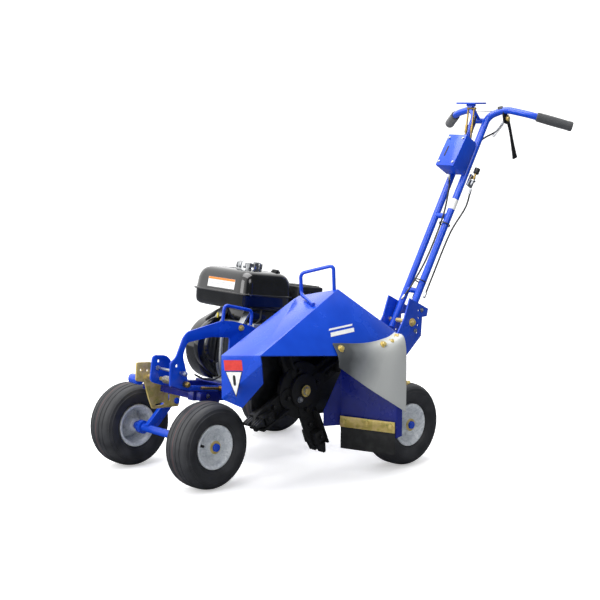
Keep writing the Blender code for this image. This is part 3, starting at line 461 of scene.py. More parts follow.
def add_slab(bm, outline, y_low, y_high, turn=WORLD):
    """A flat plate with an XZ outline between two values of Y."""
    add_faces(bm, [[turn @ Vector((x, y, z)) for x, z in outline] for y in (y_low, y_high)])


def circle(x, z, radius, steps=20):
    """A round hole's outline in XZ."""
    turns = [2 * math.pi * k / steps for k in range(steps)]
    return [(x + radius * math.cos(turn), z + radius * math.sin(turn)) for turn in turns]


def rounded(corners, radius, steps=5):
    """An outline with its corners rounded."""
    points = []
    for i, corner in enumerate(corners):
        here = Vector(corner)
        back = (Vector(corners[i - 1]) - here).normalized()
        ahead = (Vector(corners[(i + 1) % len(corners)]) - here).normalized()
        start, end = here + back * radius, here + ahead * radius
        for k in range(steps + 1):
            t = k / steps
            points.append(tuple(start.lerp(here, t).lerp(here.lerp(end, t), t)))
    return points


def bent(points, radius, steps=8):
    """A path through points with its corners rounded, for a bent tube."""
    points = [Vector(point) for point in points]
    path = [points[0]]
    for before, here, after in zip(points, points[1:], points[2:]):
        start = here + (before - here).normalized() * radius
        end = here + (after - here).normalized() * radius
        for k in range(steps + 1):
            t = k / steps
            path.append(start.lerp(here, t).lerp(here.lerp(end, t), t))
    return path + [points[-1]]


def eased(points, steps=8):
    """A smooth curve through points, for a cable or a moulded edge."""
    points = [Vector(point) for point in points]
    ends = [2 * points[0] - points[1], *points, 2 * points[-1] - points[-2]]
    path = []
    for a, b, c, d in zip(ends, ends[1:], ends[2:], ends[3:]):
        for k in range(steps):
            t = k / steps
            path.append(0.5 * (2 * b + (c - a) * t + (2 * a - 5 * b + 4 * c - d) * t ** 2
                               + (3 * b - a - 3 * c + d) * t ** 3))
    return path + [points[-1]]


def outward(place, side, turn=MACHINE):
    """A frame at place whose Z axis runs out along Y, to the side +1 or -1."""
    return turn @ Matrix.Translation(place) @ Matrix.Rotation(math.radians(-90 * side), 4, "X")


# Finished pieces

def placed(name, data):
    """A new object in the scene."""
    obj = bpy.data.objects.new(name, data)
    bpy.context.scene.collection.objects.link(obj)
    return obj


def rounded_edges(obj, width, segments=2, angle=30):
    """Rounds the edges that turn by more than angle."""
    edge = obj.modifiers.new("edge", "BEVEL")
    edge.width = width
    edge.segments = segments
    edge.limit_method = "ANGLE"
    edge.angle_limit = math.radians(angle)


def plain(obj):
    """Bakes an object's modifiers into a mesh of its own."""
    bpy.context.view_layer.update()
    graph = bpy.context.evaluated_depsgraph_get()
    data = bpy.data.meshes.new_from_object(obj.evaluated_get(graph), preserve_all_data_layers=True,
                                           depsgraph=graph)
    obj.modifiers.clear()
    obj.data = data
    return obj


def settle(obj, material, body, nodes=(), smooth=35, slot=None):
    """Shades a piece, gives it its finish, and hangs it on its body."""
    data = obj.data
    data.materials.clear()
    data.materials.append(finish(material))
    for face in data.polygons:
        face.material_index = 0
    data.shade_smooth()
    data.set_sharp_from_angle(angle=math.radians(smooth))
    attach(obj, body)
    if nodes:
        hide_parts(*nodes)
        slot = slot or SLOT_OF[nodes[0]]
    return obj


def piece(name, bm, material, body, nodes=(), turn=WORLD, bevel=0.0, smooth=35, slot=None, segments=2):
    """Makes a piece from a built mesh, moved by turn, with its sharp edges rounded by bevel."""
    bmesh.ops.transform(bm, matrix=turn, verts=bm.verts)
    bmesh.ops.recalc_face_normals(bm, faces=bm.faces)
    data = bpy.data.meshes.new(name)
    bm.to_mesh(data)
    bm.free()
    obj = placed(name, data)
    if bevel:
        rounded_edges(obj, bevel, segments, 32)
        plain(obj)
    return settle(obj, material, body, nodes, smooth, slot)


def built(name, shapes, *finish_and_place, **more):
    """A piece made of simple shapes, each the function that adds it and what that function takes."""
    bm = bmesh.new()
    for shape, *sizes_given in shapes:
        shape(bm, *sizes_given)
    return piece(name, bm, *finish_and_place, **more)


def cut_plate(name, rings, y_low, y_high, material, body, nodes=(), bevel=0.0008):
    """Flat plate in the chassis frame, cut to an XZ outline with holes in it, each a ring of points."""
    curve = bpy.data.curves.new(name, "CURVE")
    curve.dimensions = "2D"
    curve.fill_mode = "BOTH"
    curve.extrude = (y_high - y_low) / 2
    for ring in rings:
        spline = curve.splines.new("POLY")
        spline.points.add(len(ring) - 1)
        spline.use_cyclic_u = True
        for point, (x, z) in zip(spline.points, ring):
            point.co = (x, z, 0, 1)
    drawn = placed(name, curve)
    bpy.context.view_layer.update()
    graph = bpy.context.evaluated_depsgraph_get()
    data = bpy.data.meshes.new_from_object(drawn.evaluated_get(graph))
    bpy.data.objects.remove(drawn, do_unlink=True)
    bm = bmesh.new()
    bm.from_mesh(data)
    bmesh.ops.remove_doubles(bm, verts=bm.verts, dist=1e-6)
    bmesh.ops.dissolve_limit(bm, angle_limit=math.radians(0.8), verts=bm.verts, edges=bm.edges)
    stand = Matrix.Translation((0, (y_low + y_high) / 2, 0)) @ Matrix.Rotation(math.radians(90), 4, "X")
    return piece(name, bm, material, body, nodes, CHASSIS @ stand, bevel)


def softened(node, material, bevel, smooth=32):
    """A CAD part with its flats joined up and its edges broken, as pressed, cut or cast metal has them."""
    bm = bmesh.new()
    bm.from_mesh(frame["nodes"][node].data)
    bmesh.ops.remove_doubles(bm, verts=bm.verts, dist=2e-6)
    bmesh.ops.dissolve_limit(bm, angle_limit=math.radians(0.8), verts=bm.verts, edges=bm.edges)
    return piece(f"{node}_finished", bm, material, BODY_OF[node], (node,), bevel=bevel, smooth=smooth)


# Geometry Nodes for what repeats

def node_tree(name, inputs):
    """An empty geometry tree with a geometry input and the named number inputs."""
    tree = bpy.data.node_groups.new(name, "GeometryNodeTree")
    tree.interface.new_socket("Geometry", in_out="INPUT", socket_type="NodeSocketGeometry")
    for label, kind, value in inputs:
        made = tree.interface.new_socket(label, in_out="INPUT", socket_type=f"NodeSocket{kind}")
        made.default_value = value
    tree.interface.new_socket("Geometry", in_out="OUTPUT", socket_type="NodeSocketGeometry")
    return tree, add(tree, "NodeGroupInput").outputs


def close_tree(tree, instances, material):
    real = add(tree, "GeometryNodeRealizeInstances", {"Geometry": instances})
    painted = add(tree, "GeometryNodeSetMaterial", {"Geometry": real.outputs["Geometry"],
                                                    "Material": finish(material)})
    add(tree, "NodeGroupOutput", {0: painted.outputs["Geometry"]})


def fastener_tree(material):
    """A washer and a head with a turned crown at each point, facing along its own direction."""
    tree, given = node_tree(f"fasteners_{material}", [
        ("Sides", "Int", 6), ("Head Radius", "Float", 0.007), ("Head Height", "Float", 0.006),
        ("Washer Radius", "Float", 0.010), ("Washer Height", "Float", 0.0015)])
    washer = add(tree, "GeometryNodeMeshCylinder", {"Vertices": 24, "Radius": given["Washer Radius"],
                                                    "Depth": given["Washer Height"]})
    half_washer = add(tree, "ShaderNodeMath", {0: given["Washer Height"], 1: 0.5}, operation="MULTIPLY")
    lift = add(tree, "ShaderNodeCombineXYZ", {"Z": half_washer.outputs["Value"]})
    low = add(tree, "GeometryNodeTransform", {"Geometry": washer.outputs["Mesh"],
                                              "Translation": lift.outputs["Vector"]})
    head = add(tree, "GeometryNodeMeshCylinder", {"Vertices": given["Sides"], "Radius": given["Head Radius"],
                                                  "Depth": given["Head Height"]})
    half_head = add(tree, "ShaderNodeMath", {0: given["Head Height"], 1: 0.5, 2: given["Washer Height"]},
                    operation="MULTIPLY_ADD")
    rise = add(tree, "ShaderNodeCombineXYZ", {"Z": half_head.outputs["Value"]})
    middle = add(tree, "GeometryNodeTransform", {"Geometry": head.outputs["Mesh"],
                                                 "Translation": rise.outputs["Vector"]})
    crown_radius = add(tree, "ShaderNodeMath", {0: given["Head Radius"], 1: 0.78}, operation="MULTIPLY")
    top_radius = add(tree, "ShaderNodeMath", {0: given["Head Radius"], 1: 0.62}, operation="MULTIPLY")
    crown_height = add(tree, "ShaderNodeMath", {0: given["Head Height"], 1: 0.16}, operation="MULTIPLY")
    crown = add(tree, "GeometryNodeMeshCone", {"Vertices": 20, "Radius Bottom": crown_radius.outputs["Value"],
                                               "Radius Top": top_radius.outputs["Value"],
                                               "Depth": crown_height.outputs["Value"]})
    top = add(tree, "ShaderNodeMath", {0: given["Head Height"], 1: given["Washer Height"]}, operation="ADD")
    peak = add(tree, "ShaderNodeCombineXYZ", {"Z": top.outputs["Value"]})
    high = add(tree, "GeometryNodeTransform", {"Geometry": crown.outputs["Mesh"],
                                               "Translation": peak.outputs["Vector"]})
    whole = add(tree, "GeometryNodeJoinGeometry")
    for part in (low, middle, high):
        tree.links.new(part.outputs["Geometry"], whole.inputs["Geometry"])
    facing = add(tree, "GeometryNodeInputNamedAttribute", {"Name": "facing"}, data_type="FLOAT_VECTOR")
    turn = add(tree, "FunctionNodeAlignRotationToVector", {"Vector": facing.outputs["Attribute"]}, axis="Z")
    spread = add(tree, "GeometryNodeInstanceOnPoints", {
        "Points": given["Geometry"], "Instance": whole.outputs["Geometry"],
        "Rotation": turn.outputs["Rotation"]})
    close_tree(tree, spread.outputs["Instances"], material)
    return tree


def ring_tree(material):
    """Small blocks set round a circle, each facing out, such as louvres or a cap's ribs."""
    tree, given = node_tree(f"ring_{material}", [
        ("Count", "Int", 12), ("Radius", "Float", 0.05), ("Block", "Vector", (0.01, 0.01, 0.01))])
    circle = add(tree, "GeometryNodeMeshCircle", {"Vertices": given["Count"], "Radius": given["Radius"]})
    block = add(tree, "GeometryNodeMeshCube", {"Size": given["Block"]})
    place = add(tree, "GeometryNodeInputPosition")
    turn = add(tree, "FunctionNodeAlignRotationToVector", {"Vector": place.outputs["Position"]}, axis="X")
    spread = add(tree, "GeometryNodeInstanceOnPoints", {
        "Points": circle.outputs["Mesh"], "Instance": block.outputs["Mesh"],
        "Rotation": turn.outputs["Rotation"]})
    close_tree(tree, spread.outputs["Instances"], material)
    return tree


def row_tree(material):
    """Blocks in a straight row, such as a guard's louvres or cooling fins."""
    tree, given = node_tree(f"row_{material}", [
        ("Count", "Int", 5), ("Step", "Vector", (0.01, 0.0, 0.0)), ("Block", "Vector", (0.01, 0.01, 0.01))])
    line = add(tree, "GeometryNodeMeshLine", {"Count": given["Count"], "Offset": given["Step"]})
    block = add(tree, "GeometryNodeMeshCube", {"Size": given["Block"]})
    spread = add(tree, "GeometryNodeInstanceOnPoints", {
        "Points": line.outputs["Mesh"], "Instance": block.outputs["Mesh"]})
    close_tree(tree, spread.outputs["Instances"], material)
    return tree


def coil_tree(material):
    """A wound spring along Z."""
    tree, given = node_tree(f"coil_{material}", [
        ("Turns", "Float", 8.0), ("Radius", "Float", 0.006), ("Length", "Float", 0.04),
        ("Wire", "Float", 0.0009)])
    spiral = add(tree, "GeometryNodeCurveSpiral", {
        "Resolution": 20, "Rotations": given["Turns"], "Start Radius": given["Radius"],
        "End Radius": given["Radius"], "Height": given["Length"]})
    wire = add(tree, "GeometryNodeCurvePrimitiveCircle", {"Resolution": 8, "Radius": given["Wire"]})
    swept = add(tree, "GeometryNodeCurveToMesh", {"Curve": spiral.outputs["Curve"],
                                                  "Profile Curve": wire.outputs["Curve"], "Fill Caps": True})
    close_tree(tree, swept.outputs["Mesh"], material)
    return tree


TREES = {}


def grown(name, builder, material, body, values, turn=WORLD, points=None, facing=None, smooth=35, bevel=0.0):
    """Runs a geometry tree on points (or on nothing), then keeps the result as a plain piece."""
    key = (builder.__name__, material)
    if key not in TREES:
        TREES[key] = builder(material)
    tree = TREES[key]
    data = bpy.data.meshes.new(name)
    data.from_pydata([tuple(p) for p in (points or [(0, 0, 0)])], [], [])
    if facing:
        aim = data.attributes.new("facing", "FLOAT_VECTOR", "POINT")
        for slot, way in zip(aim.data, facing):
            slot.vector = Vector(way).normalized()
    obj = placed(name, data)
    made = obj.modifiers.new("grow", "NODES")
    made.node_group = tree
    sockets = {item.name: item.identifier for item in tree.interface.items_tree
               if item.in_out == "INPUT" and item.name != "Geometry"}
    for label, value in values.items():
        made[sockets[label]] = value
    if bevel:
        rounded_edges(obj, bevel)
    plain(obj)
    obj.data.transform(turn)
    return settle(obj, material, body, smooth=smooth)


def bolts(name, spots, material, body, head=0.007, height=0.005, washer=0.0105, sides=6, turn=WORLD):
    """Fasteners at (place, facing) spots given in the turn's frame."""
    aim = turn.to_3x3()
    return grown(name, fastener_tree, material, body, {
        "Sides": sides, "Head Radius": head, "Head Height": height, "Washer Radius": washer,
        "Washer Height": 0.0016},
        points=[turn @ Vector(place) for place, _ in spots], facing=[aim @ Vector(way) for _, way in spots])


# Settings

class EdgerSizes(bpy.types.PropertyGroup):
    groove_depth: FloatProperty(name="Groove depth", description="Depth of the tyres' running grooves",
                                default=0.0022, min=0.0, max=0.006, unit="LENGTH")
    groove_width: FloatProperty(name="Groove width", description="Half width of a running groove",
                                default=0.0022, min=0.0005, max=0.006, unit="LENGTH")
    cap_ribs: IntProperty(name="Cap ribs", description="Finger ribs round the fuel cap", default=14,
                          min=6, max=40)
    louvres: IntProperty(name="Louvres", description="Air slots in the recoil cover", default=18, min=6,
                         max=40)
    sheet_bend: FloatProperty(name="Sheet bend", description="Outer radius at the hood's folds",
                              default=0.0016, min=0.0002, max=0.005, unit="LENGTH")
    plate_edge: FloatProperty(name="Plate edge", description="Rounding on cut and painted plate",
                              default=0.0008, min=0.0001, max=0.003, unit="LENGTH")
    key_light: FloatProperty(name="Key light", description="Power of the large overhead softbox",
                             default=80.0, min=0.0, unit="POWER")


class EdgerColours(bpy.types.PropertyGroup):
    backdrop: FloatVectorProperty(name="Backdrop", description="Colour of the light around the object",
                                  default=(1.0, 1.0, 1.0), subtype="COLOR", min=0.0, max=1.0)


def sizes():
    return bpy.context.scene.edger_sizes


class Maker:
    """What every operator of this add-on shares."""
    bl_options = {"REGISTER", "UNDO"}

    def execute(self, context):
        self.make()
        return {"FINISHED"}


# Wheels

WHEELS = (("front_near", 0.0, 0.0, -1), ("front_far", 0.0, 0.397, 1),
          ("rear_near", WHEELBASE, -0.222, -1), ("rear_far", WHEELBASE, 0.400, 1))
TYRE_SIDE = [(0.0713, 0.0375), (0.0760, 0.0425), (0.0830, 0.0475), (0.0930, 0.0518), (0.1060, 0.0530),
             (0.1180, 0.0508), (0.1270, 0.0450), (0.1335, 0.0350), (0.1364, 0.0240), (0.1374, 0.0120),
             (0.1375, 0.0000)]
GROOVES = (-0.0300, -0.0135, 0.0135, 0.0300)
RIM_PROFILE = [
    (0.0128, 0.0400), (0.0170, 0.0405), (0.0205, 0.0395), (0.0216, 0.0372), (0.0216, 0.0185),
    (0.0240, 0.0145), (0.0310, 0.0118), (0.0400, 0.0120), (0.0475, 0.0155), (0.0520, 0.0225),
    (0.0556, 0.0320), (0.0596, 0.0392), (0.0645, 0.0425), (0.0680, 0.0436), (0.0708, 0.0424),
    (0.0708, 0.0372), (0.0692, 0.0300), (0.0692, -0.0300), (0.0708, -0.0372), (0.0708, -0.0424),
    (0.0680, -0.0436), (0.0645, -0.0425), (0.0600, -0.0385), (0.0560, -0.0300), (0.0500, 0.0120),
    (0.0460, 0.0085), (0.0400, 0.0060), (0.0310, 0.0060), (0.0225, 0.0045), (0.0216, -0.0360),
    (0.0128, -0.0360)]


class EDGER_OT_tyres(Maker, bpy.types.Operator):
    """Four pneumatic tyres with running grooves and moulded sidewall rings"""
    bl_idname = "edger.tyres"
    bl_label = "Tyres"

    def make(self):
        given = sizes()
        side = eased([(r, a, 0) for r, a in TYRE_SIDE], 6)
        whole = [(p.x, p.y) for p in side] + [(p.x, -p.y) for p in reversed(side[:-1])]
        profile = []
        for (r, a), (r_next, a_next) in zip(whole, whole[1:] + [whole[0]]):
            parts = 5 if abs(a) < 0.042 and r > 0.12 else 1
            for k in range(parts):
                t = k / parts
                radius, across = r + (r_next - r) * t, a + (a_next - a) * t
                for groove in GROOVES:
                    off = abs(across - groove) / given.groove_width
                    if off < 1 and radius > 0.12:
                        radius -= given.groove_depth * (1 - off * off)
                profile.append((radius, across))
        for name, x, y, way in WHEELS:
            bm = bmesh.new()
            add_lathe(bm, profile, outward((x, y, WHEEL_RADIUS), way), 96)
            for radius, spread in ((0.0800, 0.0462), (0.1120, 0.0526), (0.1225, 0.0494)):
                for hand in (1, -1):
                    ridge = [(radius - 0.0016, spread * hand - 0.0012 * hand),
                             (radius, spread * hand + 0.0008 * hand),
                             (radius + 0.0016, spread * hand - 0.0012 * hand)]
                    add_lathe(bm, ridge, outward((x, y, WHEEL_RADIUS), way), 96)
            bmesh.ops.transform(bm, matrix=WORLD, verts=bm.verts)
            made = piece(f"{name}_tyre_moulded", bm, "tyre", BODY_OF[f"{name}_tyre"], (f"{name}_tyre",),
                         smooth=28)
            mark = made.data.attributes.new("across", "FLOAT", "POINT")
            centre = (MACHINE @ Vector((x, y, WHEEL_RADIUS))).y
            for slot, vertex in zip(mark.data, made.data.vertices):
                slot.value = vertex.co.y - centre


class EDGER_OT_rims(Maker, bpy.types.Operator):
    """Pressed rims with welded hubs, valve stems and rivets"""
    bl_idname = "edger.rims"
    bl_label = "Rims"

    def make(self):
        for name, x, y, way in WHEELS:
            body = BODY_OF[f"{name}_rim"]
            turn = outward((x, y, WHEEL_RADIUS), way)
            built(f"{name}_rim_pressed", [
                (add_lathe, RIM_PROFILE, turn, 72)],
                "rim", body, (f"{name}_rim",), smooth=38)
            stem = bmesh.new()
            lean = math.radians(168 if way < 0 else 20)
            foot = Vector((0.0420 * math.cos(lean), 0.0420 * math.sin(lean), 0.0128))
            add_rod(stem, turn @ foot, turn @ (foot + Vector((0, 0, 0.004))), 0.0072, 20)
            add_rod(stem, turn @ foot, turn @ (foot + Vector((0, 0, 0.017))), 0.0032, 16)
            add_rod(stem, turn @ (foot + Vector((0, 0, 0.011))), turn @ (foot + Vector((0, 0, 0.021))),
                    0.0043, 12)
            piece(f"{name}_valve", stem, "plastic", body, bevel=0.0004)
            spots = []
            for k in range(4):
                angle = math.radians(45 + 90 * k)
                spots.append(((0.0335 * math.cos(angle), 0.0335 * math.sin(angle), 0.0120), (0, 0, 1)))
            bolts(f"{name}_rivets", spots, "rim", body, 0.0042, 0.0026, 0.0058, 16, turn)
            built(f"{name}_bearing_washer", [
                (add_lathe, [(0.0128, 0.0402), (0.0128, 0.0436), (0.0200, 0.0436), (0.0208, 0.0428),
                             (0.0208, 0.0402)], turn, 40)],
                "zinc", body, bevel=0.0003)


# Welded steel

LOCK_PIN = (-0.700, 0.083)

# The frame, engine deck and lock shelf take the darker blue copy, painted shade for parts under the machine.
PLATES = (("frame", "deep_blue"), ("engine_deck", "deep_blue"), ("lock_shelf", "deep_blue"),
          ("chamber_side", "satin_black"), ("bracket_near", "blue"),
          ("bracket_far", "blue"), ("front_axle", "blue"), ("stop_stub", "blue"), ("rear_axle", "blue"),
          ("engage_bail", "blue"))
FINE = (("lock_plate", "zinc"), ("skirt_clamp_strip", "zinc"), ("rear_skirt", "sheet"),
        ("throttle_bracket", "steel"), ("lock_pin", "zinc"), ("rotor_bearing", "alloy"),
        ("crank_shaft", "steel"),
        ("rotor_shaft", "steel"), ("drive_pulley", "alloy"), ("rotor_pulley", "alloy"),
        ("drive_belt", "sheet"),
        ("throttle_knob", "plastic"))


class EDGER_OT_steelwork(Maker, bpy.types.Operator):
    """Frame, brackets, axles and plates with painted, broken edges"""
    bl_idname = "edger.steelwork"
    bl_label = "Steelwork"

    def make(self):
        edge = sizes().plate_edge
        for node, material in PLATES:
            softened(node, material, edge)
        for node, material in FINE:
            softened(node, material, edge * 0.5)
        outer = [(-0.640, 0.0605), (-0.700, 0.0605), (-0.757, 0.0740), (-0.764, 0.150), (-0.744, 0.166),
                 (-0.724, 0.228), (-0.708, 0.248), (-0.571, 0.287), (-0.520, 0.287), (-0.441, 0.274),
                 (-0.402, 0.258), (-0.390, 0.0605)]
        window = [(-0.682, 0.078), (-0.700, 0.130), (-0.718, 0.172), (-0.706, 0.214), (-0.609, 0.234),
                  (-0.529, 0.234), (-0.529, 0.078)]
        pin_hole = circle(*LOCK_PIN, 0.0068)
        cut_plate("arch_plate_cut", [rounded(outer, 0.0085, 6), rounded(window, 0.012, 6),
                                     circle(-0.738, 0.140, 0.0050), pin_hole],
                  0.0785, 0.0845, "blue", "chassis", ("arch_plate",), edge)
        lug = [(-0.742, 0.0720), (-0.690, 0.0605), (-0.634, 0.0605), (-0.640, 0.110), (-0.682, 0.158),
               (-0.742, 0.158)]
        cut_plate("lock_ear_cut", [rounded(lug, 0.018, 8), circle(-0.716, 0.139, 0.0050), pin_hole],
                  0.197, 0.203, "blue", "chassis", ("lock_ear",), edge)
        beads = bmesh.new()
        seams = [[(-0.755, 0.0775, 0.076), (-0.700, 0.0775, 0.0625), (-0.640, 0.0775, 0.0615)],
                 [(-0.690, 0.1965, 0.0618), (-0.636, 0.1965, 0.0618)],
                 [(0.072, -0.0240, 0.0612), (-0.062, -0.0240, 0.0612)]]
        for seam in seams:
            path = eased(seam, 14) if len(seam) > 2 else [Vector(seam[0]).lerp(Vector(seam[1]), k / 28)
                                                          for k in range(29)]
            widths = [0.0024 + 0.0004 * math.sin(k * 2.4) for k in range(len(path))]
            add_tube(beads, path, widths, 8)
        # The weld beads take the darker blue copy, painted shade.
        piece("weld_beads", beads, "deep_blue", "chassis", turn=CHASSIS, smooth=60)
        loops = bmesh.new()
        y = 0.0815
        add_tube(loops, bent([(-0.566, y, 0.2840), (-0.566, y, 0.338), (-0.444, y, 0.324),
                              (-0.444, y, 0.2760)],
                             0.018), 0.0054, 16)
        piece("front_lift_loop", loops, "blue", "chassis", ("lift_handle_front",), CHASSIS, smooth=60)
        loops = bmesh.new()
        left, right = Vector((0.378, -0.034, 0.5775)), Vector((0.426, -0.136, 0.6085))
        rise = Vector((-0.004, 0, 0.070))
        foot = right - Vector((0, 0, 0.013))
        add_tube(loops, bent([(0.306, -0.164, 0.5680), left, left + rise, right + rise, foot], 0.016), 0.0058,
                 16)
        piece("rear_lift_loop", loops, "blue", "chassis", ("lift_handle_rear",), MACHINE, smooth=60)


class EDGER_OT_hood(Maker, bpy.types.Operator):
    """Folded rotor hood, the wall behind the rotor and plain decal panels"""
    bl_idname = "edger.hood"
    bl_label = "Hood"

    def make(self):
        softened("rotor_hood", "blue", sizes().sheet_bend, 24)
        # The rear wall takes the darker blue copy, painted shade inside the hood.
        softened("rear_wall", "deep_blue", sizes().plate_edge, 24)
        far, near = Vector((-0.005, -0.079, 0.434)), Vector((-0.005, -0.256, 0.459))
        low = Vector((-0.005, -0.079, 0.297))
        right = (near - far).normalized()
        down = (low - far - right * (low - far).dot(right)).normalized()
        out = right.cross(down)
        if out.x > 0:
            out = -out

        def decal(name, material, outline, lift, thickness=0.0003):
            bm = bmesh.new()
            place = [far + right * u + down * v + out * lift for u, v in outline]
            add_faces(bm, [place, [p + out * thickness for p in place]])
            piece(name, bm, material, "chassis", turn=MACHINE, smooth=20)

        decal("label_border", "plastic", [(0.012, 0.048), (0.092, 0.048), (0.052, 0.128)], 0.0002)
        decal("label_triangle", "white_vinyl", [(0.0165, 0.0505), (0.0875, 0.0505), (0.052, 0.1215)], 0.0006)
        decal("label_band", "red_vinyl", [(0.010, 0.014), (0.094, 0.014), (0.094, 0.046), (0.010, 0.046)],
              0.0002)
        decal("label_spot", "plastic", rounded([(0.046, 0.060), (0.058, 0.060), (0.058, 0.092),
                                                (0.046, 0.092)],
                                               0.006), 0.0010)
        self.stripes()

    def stripes(self):
        """Two plain white bars laid over the near side of the hood towards its fold."""
        a, b, c = Vector((-0.005, -0.256, 0.459)), Vector((0.440, -0.300, 0.405)), Vector((0.429, -0.150,
                                                                                           0.603))
        along = (b - a).normalized()
        up = ((c - a) - along * (c - a).dot(along)).normalized()
        out = along.cross(up)
        if out.y > 0:
            out = -out
        bm = bmesh.new()
        for low, high in ((0.066, 0.081), (0.088, 0.095)):
            place = [a + along * u + up * v + out * 0.0003 for u, v in
                     ((0.300, low), (0.404, low + 0.020), (0.408, high + 0.020), (0.304, high))]
            add_faces(bm, [place, [p + out * 0.0003 for p in place]])
        piece("hood_stripes", bm, "white_vinyl", "chassis", turn=MACHINE, smooth=20)


FLAP_ROWS = (
    [(0.292, -0.2625, 0.4585), (0.418, -0.280, 0.4455), (0.505, -0.290, 0.4520), (0.554, -0.283, 0.4630)],
    [(0.288, -0.2925, 0.4200), (0.432, -0.3100, 0.4050), (0.512, -0.330, 0.4180), (0.553, -0.331, 0.4340)],
    [(0.286, -0.2980, 0.3880), (0.405, -0.3150, 0.3050), (0.486, -0.336, 0.2500), (0.546, -0.343, 0.2120)])


class EDGER_OT_flap(Maker, bpy.types.Operator):
    """Rubber discharge flap, curled where it hangs, with its bolts"""
    bl_idname = "edger.flap"
    bl_label = "Flap"

    def make(self):
        rows = [eased(row, 12) for row in FLAP_ROWS]
        columns = [eased([row[k] for row in rows], 12) for k in range(len(rows[0]))]
        bm = bmesh.new()
        grid = [[bm.verts.new(point) for point in column] for column in columns]
        for first, second in zip(grid, grid[1:]):
            for k in range(len(first) - 1):
                bm.faces.new((first[k], first[k + 1], second[k + 1], second[k]))
        data = bpy.data.meshes.new("flap")
        bmesh.ops.transform(bm, matrix=MACHINE, verts=bm.verts)
        bmesh.ops.recalc_face_normals(bm, faces=bm.faces)
        bm.to_mesh(data)
        bm.free()
        obj = placed("discharge_flap_hung", data)
        wall = obj.modifiers.new("thickness", "SOLIDIFY")
        wall.thickness = 0.003
        wall.offset = 0
        wall.use_even_offset = True
        rounded_edges(obj, 0.0006, 2, 40)
        settle(plain(obj), "flap", "chassis", ("discharge_flap",), 50)
        spots = [((0.312, -0.2800, 0.4410), (0.05, -0.82, 0.57)),
                 ((0.478, -0.3050, 0.4360), (0.0, -0.76, 0.65)),
                 ((0.513, -0.3090, 0.4400), (0.0, -0.72, 0.69)),
                 ((0.545, -0.3040, 0.4520), (0.0, -0.66, 0.75))]
        bolts("flap_bolts", spots, "zinc", "chassis", 0.0085, 0.0060, 0.0125, 6, MACHINE)
        bolts("flap_edge_bolt", [((0.5480, -0.3420, 0.3080), (0.9, -0.4, 0.1))], "zinc", "chassis", 0.0055,
              0.0090, 0.0070, 6, MACHINE)


# Rotor and drive

ROTOR_CENTRE = (0.306, -0.100, 0.284)
ROTOR_ARMS = (203.0, 293.0, 23.0, 113.0)
ROTOR_TIP = 0.230


class EDGER_OT_rotor(Maker, bpy.types.Operator):
    """Cast rotor arms with paddles, cutting teeth and their hardware"""
    bl_idname = "edger.rotor"
    bl_label = "Rotor"

    def make(self):
        y = ROTOR_CENTRE[1]
        bm = bmesh.new()
        x, z = ROTOR_CENTRE[0], ROTOR_CENTRE[2]
        add_rod(bm, (x, y - 0.024, z), (x, y + 0.030, z), 0.055, 48)
        add_rod(bm, (x, y - 0.010, z), (x, y + 0.010, z), 0.092, 56)
        tips = bmesh.new()
        spots = []
        for angle in ROTOR_ARMS:
            turn = Matrix.Translation((x, 0, z)) @ Matrix.Rotation(math.radians(-angle), 4, "Y")
            arm = [(0.020, -0.036), (0.150, -0.034), (ROTOR_TIP - 0.030, -0.024), (ROTOR_TIP - 0.012, -0.010),
                   (ROTOR_TIP - 0.012, 0.022), (0.150, 0.036), (0.020, 0.036)]
            add_slab(bm, arm, y - 0.007, y + 0.007, turn)
            paddle = [(0.085, 0.015), (ROTOR_TIP - 0.020, 0.015), (ROTOR_TIP - 0.020, 0.0225),
                      (0.100, 0.0225)]
            add_slab(bm, paddle, y - 0.034, y + 0.034, turn)
            add_rod(bm, (0.066, y - 0.014, -0.010), (0.066, y + 0.014, -0.010), 0.031, 32, turn=turn)
            holder = [(0.150, -0.020), (0.196, -0.022), (0.200, 0.010), (0.154, 0.012)]
            for low in (y - 0.034, y + 0.004):
                add_slab(bm, holder, low, low + 0.030, turn)
            for low in (y - 0.034, y + 0.006):
                for k in range(3):
                    start = low + 0.010 * k
                    add_slab(tips, [(0.190, -0.018), (ROTOR_TIP, -0.013), (ROTOR_TIP, -0.004),
                                    (0.190, 0.010)],
                             start, start + 0.0075, turn)
            for reach, lift in ((0.066, -0.010), (0.125, -0.012), (0.175, -0.006)):
                depth = 0.0142 if reach < 0.1 else (0.0072 if reach < 0.15 else 0.0342)
                spots.append((turn @ Vector((reach, y - depth, lift)), (0, -1, 0)))
                spots.append((turn @ Vector((reach, y + depth, lift)), (0, 1, 0)))
        piece("rotor_casting", bm, "cast_black", "rotor", ("rotor_arms",), MACHINE, bevel=0.0014)
        piece("rotor_teeth", tips, "satin_black", "rotor", turn=MACHINE, bevel=0.0008)
        bolts("rotor_bolts", spots, "satin_black", "rotor", 0.0080, 0.0060, 0.0110, 6, MACHINE)
        bolts("rotor_hub_bolt", [((x, y - 0.0300, z), (0, -1, 0))], "zinc", "rotor", 0.0115, 0.0080, 0.0190,
              6, MACHINE)
        bolts("rotor_lock_nut", [((x - 0.022, y - 0.0240, z - 0.026), (0, -1, 0))], "steel", "rotor", 0.0075,
              0.0065, 0.0100, 6, MACHINE)


# Engine

CRANK_X, CRANK_Z = -0.310, 0.192
TANK_X, TANK_Y = (-0.444, -0.205), (0.124, 0.410)
TANK_LOW, TANK_SEAM, TANK_TOP = 0.3165, 0.371, 0.450


